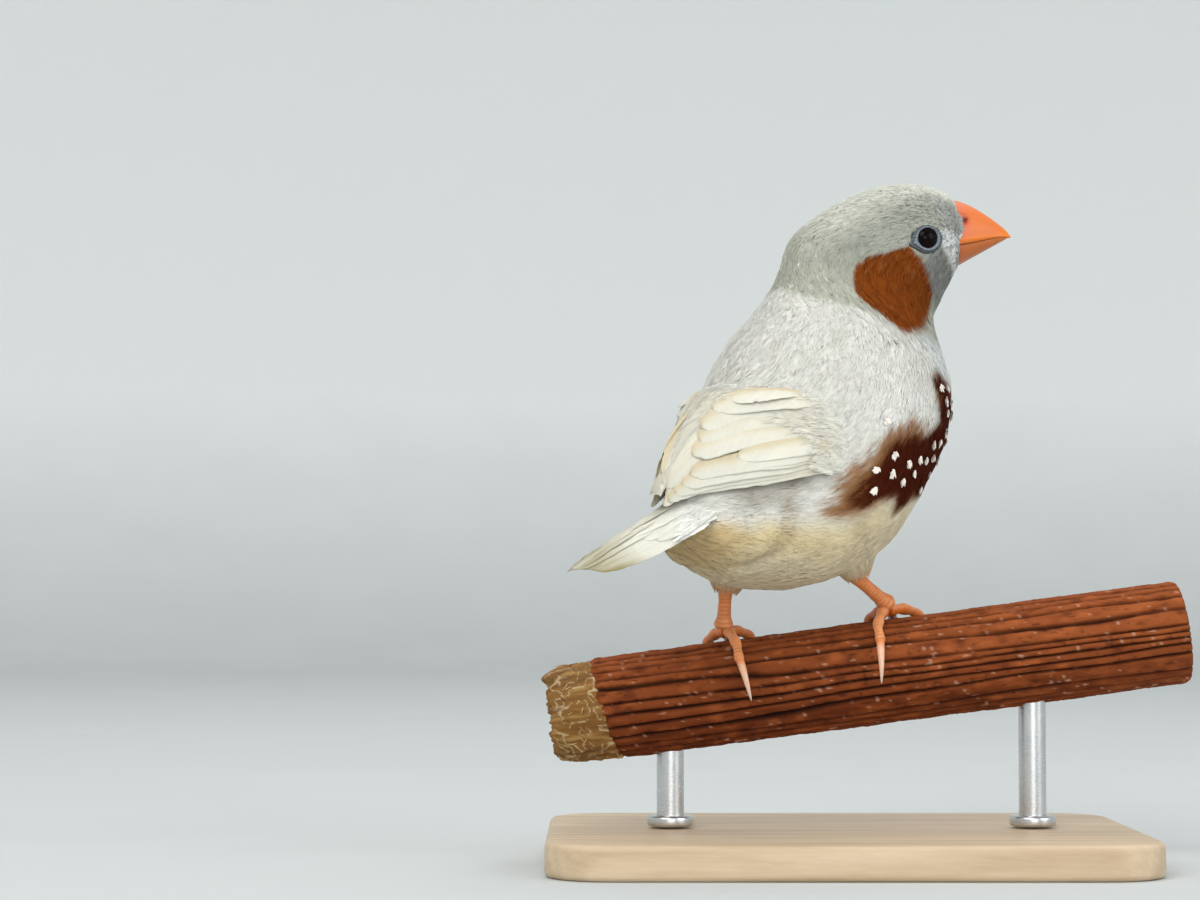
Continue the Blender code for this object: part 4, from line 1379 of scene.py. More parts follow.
@dataclass
class Bill:
    """The two halves of the short deep bill."""

    stance: Stance
    base: float = 14.2
    tip: float = 23.95
    culmen: Sequence = ((14.2, 98.7), (15.5, 98.5), (17.1, 98.0), (18.8, 97.15), (20.6, 96.05), (22.3, 94.8),
                        (23.4, 93.8), (23.9, 93.05))
    mouth: Sequence = ((14.2, 91.3), (15.9, 91.55), (17.6, 91.9), (19.4, 92.35), (21.2, 92.75), (22.6, 92.98),
                       (23.3, 93.0), (23.9, 92.95))
    chin: Sequence = ((14.2, 88.0), (15.9, 88.75), (17.6, 89.7), (19.4, 90.7), (21.2, 91.7), (22.4, 92.35),
                      (23.0, 92.7), (23.3, 92.9))
    border: Sequence = ((87.7, 14.2), (89.1, 15.0), (90.2, 14.9), (91.4, 14.4), (92.8, 15.4), (94.1, 15.85),
                        (95.4, 15.6), (96.6, 15.0), (97.8, 14.2))
    half_width: float = 4.0
    lower_share: float = 0.93
    lower_tip: float = 23.35
    nostril: Sequence[float] = (16.3, 95.3)
    stations: int = 60
    sides: int = 41

    @staticmethod
    def level(line: Sequence, s: Array) -> Array:
        """Read the second number of a line of pairs at places along its first."""
        return np.interp(s, *np.array(line).T)

    def width_at(self, s: Array) -> Array:
        """Return the upper half's half width at places along the bill."""
        reach = np.clip((s - self.base) / (self.tip - self.base), 0.0, 1.0)
        return self.half_width * (1.0 - reach) ** 0.78

    @staticmethod
    def bulge(turn: Array) -> Array:
        """Return the outline's height over the mouth line, from 0 to 1."""
        return np.abs(np.sin(turn)) ** 0.88

    def half(self, name: str, upward: bool, material: Material) -> None:
        """Make one half.

        Args:
            name: The name of its solid.
            upward: Whether it is the upper half.
            material: Its material.
        """
        share = 1.0 - (1.0 - np.linspace(0.0, 1.0, self.stations)) ** 1.25
        if upward:
            s, rim = smooth_curve(np.array(self.culmen), share).T
        else:
            s = np.minimum(smooth_curve(np.array(self.mouth), share)[:, 0], self.lower_tip)
            rim = self.level(self.chin, s)
        line = self.level(self.mouth, s)
        half = self.width_at(s) * (1.0 if upward else self.lower_share) + 0.04
        turn = np.linspace(0.0, math.pi, self.sides)
        gap = 0.03 if upward else -0.03
        inner = np.cos(turn[1:-1])[::-1] * 0.86
        z = (line + gap)[:, None] + (rim - line - gap)[:, None] * self.bulge(turn)
        z_inner = (line + gap)[:, None] + (rim - line)[:, None] * 0.10 * (1.0 - inner ** 2)
        w = half[:, None] * np.concatenate((np.cos(turn), inner))
        z = np.concatenate((z, z_inner), axis=1)
        s = s[:, None] + w * 0
        points = self.stance.point(s, w, z, self.stance.head_heading)
        tints = self.paint(s, w, z, upward)
        if upward:
            tints = self.nostrils(s, w, z, points, tints)
        data = MeshData()
        add_tube(data, points, tints, upward)
        data.piece(name + "_horn", material, Slot.HORN, [name])

    def nostrils(self, s: Array, w: Array, z: Array, points: Array, tints: Array) -> Array:
        """Press the nostrils into the upper half's points, with a red stain round each and painted shade in
        each pit.

        Args:
            s: Each point's distance in front of the neck's axis.
            w: Its distance to the bird's right.
            z: Its height.
            points: The points, which are changed.
            tints: Their colours.

        Returns:
            The colours with the nostrils.
        """
        nose_s, nose_z = self.nostril
        for side in (-1, 1):
            other = np.where(w * side > 0, 0, 99)
            miss = np.hypot((s - nose_s) / 0.45, (z - nose_z) / 0.40) + other
            stain = np.hypot((s - nose_s + 0.2) / 1.1, (z - nose_z) / 1.2) + other
            tints = over(tints, tone(176, 52, 20), ramp(1.3 - stain, 0.0, 0.9) * 0.6)
            pit = ramp(1.25 - miss, 0.0, 0.6)
            pit[:, self.sides:] = 0.0
            points[..., 1] += pit * 0.35 * side
            # The pit is painted nearly black, as painted shade inside the nostril.
            tints = over(tints, tone(70, 16, 8), pit)
        return tints

    def paint(self, s: Array, w: Array, z: Array, upward: bool) -> Array:
        """Return the horn's colour, deep red at the base, amber at the tip, with painted highlight and shade.

        Args:
            s: Distance in front of the neck's axis.
            w: Distance to the bird's right.
            z: Height above the floor.
            upward: Whether it is the upper half.

        Returns:
            A colour for each place.
        """
        deep, bright, amber = tone(210, 114, 78), tone(214, 114, 54), tone(230, 124, 12)
        colour = over(over(deep, bright, ramp(s, 15.5, 18.2)), amber,
                      ramp(s + (93.4 - z) * 0.6, 20.4, 24.0))
        if upward:
            # Painted highlight along the top of the culmen.
            culmen_highlight = ramp(0.9 - np.abs(w), 0.0, 0.9) * ramp(z, 93.8, 96.0)
            colour = over(colour, tone(252, 168, 128), culmen_highlight * 0.35)
            colour = over(colour, amber, ramp(92.9 - z + (s - 16) * 0.08, 0.0, 0.5) * 0.6)
        else:
            # The lower half is duller, darkened further as painted shade, and paler towards the mouth line.
            colour = colour + (tone(164, 92, 42) - colour) * 0.74
            colour = over(colour, tone(226, 140, 66), ramp(z - 91.4 - (s - 16) * 0.2, 0.0, 0.6) * 0.5)
        edge = ramp(noise(joined(s, w, z) * (0.4, 1.0, 1.0), 0.6, 8), -0.2, 0.9)
        return over(colour, deep, edge * 0.16)

    def feather_edge(self, markings: Markings, material: Material) -> None:
        """Make the tiny feathers that reach over the sides of the bill's base.

        Args:
            markings: The plumage's colours.
            material: The feathers' material.
        """
        s = np.linspace(14.3, 17.0, 28)
        top, line, low = (self.level(rim, s)[:, None] for rim in (self.culmen, self.mouth, self.chin))
        turn = circle(120)
        z = line + (np.where(np.sin(turn)[None] > 0, top, low) - line) * self.bulge(turn)
        half = self.width_at(s) + 0.08
        grid = self.stance.point(s[:, None], half[:, None] * np.cos(turn), z, self.stance.head_heading)

        def keep(u: Array, v: Array, points: Array) -> Array:
            """Keep to the base, behind the border."""
            found, _, height = self.stance.place(points, self.stance.head_heading)
            return found < self.level(self.border, height) + 0.40 + 0.14 * noise(points, 0.6, 18)

        def paint(u: Array, v: Array, points: Array) -> Array:
            """Return the lores' grey, white below and specked."""
            colour = over(markings.lore, markings.stripe, ramp(93.6 - points[..., 2], 0.0, 1.2) * 0.9)
            return over(colour, markings.speck, ramp(noise(points, 0.4, 19), 0.2, 0.5) * 0.5)

        data = MeshData()
        FeatherCoat(Surface(grid, True), -1.0, paint, 111).grow(
            data, 0.20, keep, 0.02, CoatStyle(0.9, 0.24, 0.055, 0.20, 5), (0.75, 1.15), (0.0, 0.2))
        data.piece("coat_bill_edge", material, Slot.GREY)


@dataclass
class Wing:
    """The sheet of one folded wing, which long vanes and soft coverts lie on.

    Each place of a row has its s, its z and its distance from the middle where it
    stands free of the body.
    """

    shape: BodyShape
    side: int
    cover: float = 1.5
    cover_rows: Sequence[float] = (-0.35, 0.75, 1.0, 1.0, 1.0, 1.0, 1.0)
    cover_columns: Sequence[float] = (0.25, 0.75, 1.0, 1.0, 1.0)
    rows: Sequence = (
        ((-28.0, 69.8, 0.6), (-21.5, 68.3, 6.0), (-18.2, 64.2, 14.0), (-17.8, 60.0, 16.0), (-19.2, 56.4, 15.0)),
        ((-31.5, 68.0, 0.6), (-26.0, 66.4, 6.0), (-24.0, 62.8, 13.0), (-24.0, 59.0, 14.5), (-25.0, 55.8, 14.0)),
        ((-34.6, 66.0, 0.6), (-31.0, 64.6, 4.6), (-29.6, 61.4, 9.4), (-29.6, 58.0, 11.6), (-30.0, 55.2, 11.4)),
        ((-37.2, 63.4, 0.6), (-35.2, 62.0, 3.2), (-34.0, 59.4, 6.0), (-34.0, 56.6, 7.4), (-34.2, 54.5, 7.2)),
        ((-39.5, 60.4, 0.6), (-38.4, 59.0, 1.8), (-37.6, 57.2, 3.0), (-37.4, 55.2, 3.7), (-37.4, 53.9, 3.7)),
        ((-41.4, 56.8, 0.6), (-41.0, 55.8, 0.9), (-40.6, 54.8, 1.3), (-40.4, 53.7, 1.6), (-40.4, 52.9, 1.7)),
        ((-43.2, 52.8, 0.6), (-43.1, 52.4, 0.8), (-43.0, 52.0, 1.0), (-42.9, 51.6, 1.2), (-42.9, 51.2, 1.3)),
    )

    def sheet(self) -> Surface:
        """Lay the wing's rows on the body, and free of it behind.

        Returns:
            The sheet.
        """
        rows = [[self.place(spot, share, row_share) for spot, share in zip(row, self.cover_columns)]
                for row, row_share in zip(self.rows, self.cover_rows)]
        return dense_sheet(rows, float(self.side))

    def place(self, spot: Sequence[float], share: float, row_share: float) -> Array:
        """Return a point of the sheet.

        Args:
            spot: The place's s, z and free distance from the middle.
            share: Its column's share of the cover over the body.
            row_share: Its row's share.

        Returns:
            The point over the body, or free of it where that is further out.
        """
        s, z, w = spot
        stance = self.shape.stance
        place, normal, miss = self.shape.side_place(s, z, self.side)
        free = stance.point(s, w * self.side, z, stance.body_heading)
        middle = stance.point(s, 0.0, z, stance.body_heading)
        raised = place + normal * self.cover * min(share, row_share)
        further = np.linalg.norm(raised - middle) > np.linalg.norm(free - middle)
        return raised if miss < 0.6 and (row_share < 0.9 or further) else free


class Quill(NamedTuple):
    """One long feather: its root and tip on the sheet, its size, how it lies, and its painted shade near the
    tip.
    """

    root_u: float
    root_v: float
    tip_u: float
    tip_v: float
    half_width: float
    lift: float
    tilt: float
    bluntness: float
    # How strong the painted shade near the tip and edges is.
    wear: float = 0.0


def between(first: Quill, last: Quill, count: int) -> list:
    """Return feathers that change evenly from a first to a last one."""
    shares = np.linspace(0.0, 1.0, count)[:, None]
    return [Quill(*row) for row in np.array(first) + (np.array(last) - np.array(first)) * shares]


class VaneColours(NamedTuple):
    """A long feather's colours: vane and edge, painted shade where others cover it, and a darker under colour
    painted as shade.
    """

    vane: Array
    edge: Array
    covered: Array
    under: Array


class VaneMaker:
    """Long feathers with a shaft, a camber and a few splits, laid on a sheet."""

    along = 26
    across = np.array((-1.0, -0.86, -0.62, -0.34, -0.12, 0.0, 0.12, 0.34, 0.62, 0.86, 1.0))
    thickness = 0.12
    root_sunk = 0.7
    split_depth = 0.13

    def __init__(self, surface: Surface, side: int, seed: int) -> None:
        """Start a set of feathers.

        Args:
            surface: The sheet that they lie on.
            side: 1 for the bird's right, -1 for its left.
            seed: Picks the random draws.
        """
        self.surface = surface
        self.side = side
        self.draw = np.random.default_rng(seed)

    def reach(self, half: Array) -> Array:
        """Return how far a vane's points lie from its shaft, with ragged and split edges.

        Args:
            half: The vane's half width along the feather.

        Returns:
            The distances in millimetres, by row and column.
        """
        ragged = self.draw.normal(0.0, 0.035, (self.along, 2)) * half[:, None]
        for _ in range(2):
            row = int(self.draw.integers(self.along // 2, self.along - 1))
            ragged[row, int(self.draw.integers(0, 2))] -= self.split_depth * half[row]
        reach = self.across[None, :] * half[:, None]
        reach[:, 0] -= ragged[:, 0]
        reach[:, -1] += ragged[:, 1]
        return reach

    def tints(self, f: Array, ring: Array, quill: Quill, colours: VaneColours) -> Array:
        """Return a feather's colours, with painted shade where others cover it, underneath and near its tip.

        Args:
            f: The share of its length at each row of points.
            ring: The points, its upper side first.
            quill: The feather.
            colours: Its set of colours.

        Returns:
            A colour for each point.
        """
        x = self.across
        signed = np.concatenate((x, x[::-1]))[None, :] * (1.0 if quill.tilt >= 0 else -1.0)
        broad = np.abs(signed)
        tint = over(colours.vane, colours.edge, ramp(broad + f[:, None] * 0.15, 0.75, 1.15) * 0.7)
        # Painted shade near the root and on the half that the next feather covers.
        covered = ramp(0.5 - f, 0.0, 0.5)[:, None] * 0.40 + ramp(0.45 - signed, 0.0, 1.1) * 0.72
        tint = over(tint, colours.covered, np.clip(covered, 0.0, 1.0))
        # The underside is mixed with the darker under colour as painted shade.
        tint[:, len(x):] = tint[:, len(x):] * 0.6 + colours.under * 0.4
        # Painted shade towards the tip and the edges, as strong as the feather is given.
        wear_and_shade = ramp(f, 0.42, 0.84)[:, None] * (0.50 + 0.50 * ramp(broad, 0.1, 0.9))
        tint = over(tint, colours.under, wear_and_shade * quill.wear)
        return tint * (1.0 + 0.035 * noise(ring, 1.6, 9) + self.draw.normal(0.0, 0.012))[..., None]

    def feather(self, data: MeshData, quill: Quill, colours: VaneColours) -> None:
        """Add one feather.

        Args:
            data: What it is added to.
            quill: Its place, size and lie.
            colours: Its set of colours.
        """
        f = np.linspace(0.0, 1.0, self.along) ** 0.9
        u = quill.root_u + (quill.tip_u - quill.root_u) * f + self.draw.normal(0.0, 0.004)
        spot = self.surface.at(u, quill.root_v + (quill.tip_v - quill.root_v) * f)
        wide = unit(np.cross(spot.normal, unit(np.gradient(spot.point, axis=0)))) * self.side
        tip = np.clip((f - quill.bluntness) / (1.0 - quill.bluntness), 0.0, 1.0)
        outline = np.minimum(1.0, 0.22 + f * 2.0) * (1.0 - tip ** 2.2) ** 0.5
        half = quill.half_width * outline + 0.02
        reach = self.reach(half)
        x = self.across[None, :]
        height = -self.root_sunk + (self.root_sunk + quill.lift) * f ** 0.6
        camber = 0.15 * half[:, None] * (1.0 - x ** 2)
        shaft = 0.06 * np.exp(-(x / 0.1) ** 2) * (1.0 - 0.7 * f)[:, None]
        rise = height[:, None] + camber + shaft + quill.tilt * x * outline[:, None]
        top = spot.point[:, None] + wide[:, None] * reach[..., None]
        top = top + spot.normal[:, None] * rise[..., None]
        thick = self.thickness * (1.0 - 0.75 * x ** 2) * (1.0 - 0.6 * f)[:, None] + 0.015
        low = top - spot.normal[:, None] * thick[..., None]
        ring = np.concatenate((top, low[:, ::-1]), axis=1)
        length = np.linalg.norm(np.diff(spot.point, axis=0), axis=-1).sum()
        places = joined(np.concatenate((reach, reach[:, ::-1]), axis=1), (f * length)[:, None])
        add_tube(data, ring, self.tints(f, ring, quill, colours), self.side > 0, places)

    def lay(self, data: MeshData, quills: Sequence[Quill], colours: VaneColours) -> None:
        """Add feathers, the first ones lowest."""
        for quill in quills:
            self.feather(data, quill, colours)


@dataclass
class Tail:
    """The sheet of the tail, a low roof. Each row has its s, its ridge, its edge and its half width."""

    stance: Stance
    rows: Sequence = (
        (-30.5, 55.6, 51.6, 4.4), (-35.0, 54.0, 50.7, 5.0), (-42.0, 50.4, 47.4, 5.2), (-50.0, 46.8, 44.2, 5.0),
        (-55.0, 44.3, 42.6, 4.4), (-58.9, 42.2, 41.5, 2.8))
    shoulder: float = 0.62

    def sheet(self) -> Surface:
        """Lay the tail's rows from edge to edge.

        Returns:
            The sheet.
        """
        rows = []
        for s, ridge, edge, half in self.rows:
            middle = edge + (ridge - edge) * self.shoulder
            line = ((-half, edge), (-half * 0.5, middle), (0.0, ridge), (half * 0.5, middle),
                    (half, edge))
            rows.append([self.stance.point(s, w, z, self.stance.body_heading) for w, z in line])
        return dense_sheet(rows, 1.0)


@dataclass
class Perch:
    """The tilted branch: grooved bark, with its left end gnawed bare."""

    radius: float = 7.5
    left: float = -42.2
    right: float = 50.0
    height: float = 26.97
    tilt: float = 7.55
    bare_length: float = 7.0
    bare_radius: float = 7.3
    gap: float = 0.3
    around: int = 300
    bare_around: int = 220
    groove_depth: float = 0.60
    furrows: int = 26
    slant: float = 3.4
    # The turn towards the lamps, where the bark's painted light is strongest; the gnawed end's edge lies
    # furthest along on the other side.
    sunny_turn: float = 0.5
    fibre_count: int = 70
    fibre_steps: int = 6

    def point(self, x: Array, turn: Array, radius: Array) -> Array:
        """Return points round the perch.

        Args:
            x: Their distance along X from the origin, at the perch's axis.
            turn: Their turn in degrees from its top to the viewer.
            radius: Their distance from its axis.

        Returns:
            The points in millimetres.
        """
        tilt, angle = math.radians(self.tilt), np.radians(turn)
        centre_z = self.height + math.tan(tilt) * x
        return joined(x - math.sin(tilt) * radius * np.cos(angle), -radius * np.sin(angle),
                      centre_z + math.cos(tilt) * radius * np.cos(angle))

    def speckle(self, angle: Array, along: Array, size: float, seed: int, radius: float = 7.5) -> Array:
        """Return noise over the round surface.

        Args:
            angle: Places round it, in radians.
            along: Places along it in millimetres, shrunk where the noise is to be long.
            size: The width of a blotch in millimetres.
            seed: Picks another pattern.
            radius: The surface's radius.

        Returns:
            Values from -1 to 1.
        """
        return noise(joined(np.cos(angle) * radius, np.sin(angle) * radius, along), size, seed)

    def edge(self, angle: Array) -> Array:
        """Return where the bark begins at an angle round the perch.

        Args:
            angle: The angles, in radians.

        Returns:
            The places along X.
        """
        lean = self.slant * (0.5 - 0.5 * np.cos(angle - self.sunny_turn))
        rough = 0.35 * self.speckle(angle, 0.0, 1.3, 27) + 0.15 * self.speckle(angle, 0.0, 0.5, 37)
        return self.left + self.bare_length - 0.85 + lean + rough

    def bark(self, material: Material) -> None:
        """Make the barked length, with wavering grooves and ridges.

        Args:
            material: The pieces' material.
        """
        cross, share = np.meshgrid(np.degrees(circle(self.around)), np.linspace(0.0, 1.0, 230))
        angle = np.radians(cross)
        start = self.edge(angle)
        along = start + (self.right - start) * share
        warp = (0.55 * self.speckle(angle, along * 0.06, 4.5, 21)
                + 0.20 * self.speckle(angle, along * 0.16, 1.8, 22))
        uneven = 0.55 * self.speckle(angle, 0.0, 3.6, 28) + 0.30 * self.speckle(angle, 0.0, 1.7, 29)
        phase = cross * self.furrows / 360.0 + warp + uneven
        wave = np.abs((phase % 1.0) - 0.5) * 2.0
        number = np.floor(phase)
        deep = 0.55 + 0.45 * noise(joined(number * 3.7, along * 0.055, 0.0), 1.0, 23)
        crack = ramp(wave, 0.60, 0.97) * ramp(deep, 0.12, 0.62)
        rounds = 1.0 - wave ** 2
        flake = self.speckle(angle, along * 0.45, 0.9, 24)
        end = ramp(along, start, start + 0.8) * ramp(along, self.right, self.right - 0.5)
        depth = self.groove_depth * crack * (0.25 + 0.75 * ramp(along, start, start + 2.2))
        rough = 0.16 * rounds + 0.12 * flake + 0.07 * self.speckle(angle, along, 0.42, 25)
        radius = self.radius - 0.12 - depth + rough - 0.35 * (1.0 - end)
        face, wood = self.sawn_face(radius[-1:])
        data = MeshData()
        add_tube(data, np.concatenate((self.point(along, cross, radius), face)),
                 np.concatenate((self.bark_tints(angle, along, rounds, flake, crack), wood)))
        data.piece("perch_bark", material, Slot.BARK, ["perch_branch"])

    def bark_tints(self, angle: Array, along: Array, rounds: Array, flake: Array,
                   crack: Array) -> Array:
        """Return the bark's colours, with painted light on its lit side and painted shade in its grooves.

        Args:
            angle: Places round the perch, in radians.
            along: Places along it.
            rounds: How near each place is to a ridge's crest.
            flake: How far its flake stands out.
            crack: How deep it is in a groove.

        Returns:
            A colour for each place.
        """
        red, light, dark = tone(81, 31, 8), tone(150, 80, 40), tone(24, 9, 3)
        # The bark is lighter on ridge crests, further along, on flakes, and as painted light on the side facing
        # the lamps.
        patch = 0.25 * self.speckle(angle, along * 0.1, 3.0, 40)
        painted_top_light = ramp(np.cos(angle - self.sunny_turn) + patch, -0.2, 1.0)
        colour = over(red, light, np.clip(
            rounds * 0.28 + ramp(along, -10, 50) * 0.22 + 0.35 * ramp(flake, 0.0, 0.8) + 0.32 * painted_top_light,
            0, 1))
        colour = over(colour, tone(72, 30, 11), ramp(-flake, 0.2, 0.9) * 0.6)
        colour = over(colour, dark, ramp(self.speckle(angle, along * 0.5, 0.38, 30), 0.45, 0.75) * 0.45)
        # The grooves are painted nearly black as painted shade, over their real depth.
        colour = over(colour, dark, crack * 0.95)
        patchy = self.speckle(angle, along * 0.5, 2.6, 41) * 0.14
        speck = ramp(self.speckle(angle, along * 0.8, 0.5, 26) + patchy, 0.66, 0.84)
        return over(colour, tone(196, 160, 136), speck * 0.5 * (1 - crack))

    def sawn_face(self, radius: Array) -> tuple:
        """Return the sawn end with its growth rings.

        Args:
            radius: The bark's radius round its rim.

        Returns:
            The end's points and their colours, from the rim inwards.
        """
        inner = np.concatenate((np.linspace(0.985, 0.10, 26), [0.02]))[:, None]
        turn = np.degrees(circle(self.around))[None, :]
        reach = radius * inner + (self.radius * 0.94 - radius) * inner * ramp(1.0 - inner, 0.0, 0.15)
        angle = np.radians(turn)
        wobble = noise(joined(np.cos(angle) * reach, np.sin(angle) * reach, 0.0), 1.6, 39)
        growth = 0.5 + 0.5 * np.sin((reach + 0.18 * wobble) * 8.5)
        wood = over(tone(186, 142, 92), tone(140, 94, 52), growth * 0.6)
        wood = over(wood, tone(112, 70, 36), ramp(wobble, 0.4, 1.0) * 0.4)
        return self.point(self.right, turn, reach), over(wood, tone(81, 31, 8), ramp(inner, 0.86, 0.90))

    def bare(self, material: Material) -> None:
        """Make the gnawed end, with its dished face and a fringe of fibres.

        Args:
            material: The pieces' material.
        """
        turn = np.degrees(circle(self.bare_around))
        x = np.linspace(self.left, self.left + self.bare_length + self.slant, 80)
        cross, along = np.meshgrid(turn, x)
        angle = np.radians(cross)

        def chips(stretch: float, size: float, seed: int) -> Array:
            """Return noise over the bare wood, longer where its stretch is smaller."""
            return self.speckle(angle, along * stretch, size, seed, self.bare_radius)

        fibre = chips(0.14, 0.55, 31) + 0.6 * chips(0.14, 0.28, 32)
        bite = chips(0.6, 2.4, 33)
        share = (along - self.left) / self.bare_length
        crackle = ramp(0.10 - np.abs(chips(0.9, 1.0, 38)), 0, 0.1)
        radius = self.bare_radius - 0.15 - 0.9 * (1.0 - np.clip(share * 2.2, 0, 1)) ** 2
        radius = radius + 0.10 * fibre + 0.45 * bite + 0.16 * chips(1.0, 0.9, 36) + 0.14 * crackle
        radius = radius - 0.6 * ramp(along - self.edge(angle), 0.1, 1.0)
        lean = (1.0 - share) * (1.3 * bite + 0.35 * fibre)
        tan, pale, dark = tone(122, 84, 38), tone(168, 136, 84), tone(74, 47, 21)
        colour = over(tan, pale, ramp(fibre, 0.1, 1.0) * 0.5)
        colour = over(colour, tone(206, 186, 146), crackle * 0.7)
        colour = over(colour, dark, ramp(-fibre + bite * 0.4, 0.2, 1.1) * 0.6)
        inner = np.linspace(0.93, 0.06, 16)[:, None]
        flat = joined(np.cos(angle[:1]) * inner * 7, np.sin(angle[:1]) * inner * 7, 0.0)
        torn = noise(flat, 1.1, 34) + 0.6 * noise(flat, 0.5, 35)
        dish = lean[:1] * inner ** 2 + 0.5 * (1 - inner) + 0.35 * torn
        cap = self.point(self.left + dish, turn, radius[:1] * inner)
        wear_and_shade = over(over(tan, pale, ramp(torn, 0.0, 1.0) * 0.7), dark, ramp(-torn, 0.2, 1.0) * 0.6)
        data = MeshData()
        add_tube(data, np.concatenate((cap[::-1], self.point(along + lean, cross, radius))),
                 np.concatenate((wear_and_shade[::-1], colour)))
        data.piece("perch_gnawed_end", material, Slot.BARE, ["perch_bare_end"])

    def fibres(self, material: Material) -> None:
        """Make loose torn fibres round the gnawed end.

        Args:
            material: The pieces' material.
        """
        draw = np.random.default_rng(41)
        data = MeshData()
        f = np.linspace(0.0, 1.0, self.fibre_steps)
        for _ in range(self.fibre_count):
            x = self.left + draw.uniform(0.16, 0.95) * self.bare_length
            turn = draw.uniform(0, 360)
            length = draw.uniform(0.4, 1.0)
            lift = draw.uniform(-0.05, 0.10)
            swerve = draw.normal(0.0, 7.0)
            way = -1.0 if draw.uniform() < 0.5 else 1.0
            middle = self.point(x + way * length * f, turn + swerve * f,
                                self.bare_radius - 0.15 + lift * f ** 1.5)
            tint = tone(200, 170, 122) + (tone(140, 98, 52) - tone(200, 170, 122)) * draw.uniform(0, 1)
            self.strand(data, middle, 0.075 * (1.0 - f) ** 0.6 + 0.012, tint)
        data.piece("perch_fibres", material, Slot.BARE)

    @staticmethod
    def strand(data: MeshData, middle: Array, thick: Array, tint: Array) -> None:
        """Add a thin four-sided strand.

        Args:
            data: What it is added to.
            middle: Its middle line.
            thick: Its thickness along the line.
            tint: Its colour.
        """
        way = unit(np.gradient(middle, axis=0))
        side = unit(np.cross(way, np.array((0.3, 0.5, 0.8))))
        up = np.cross(side, way)
        ring = np.stack((side, up, -side, -up), axis=1) * thick[:, None, None] + middle[:, None]
        add_tube(data, ring, tint, True)


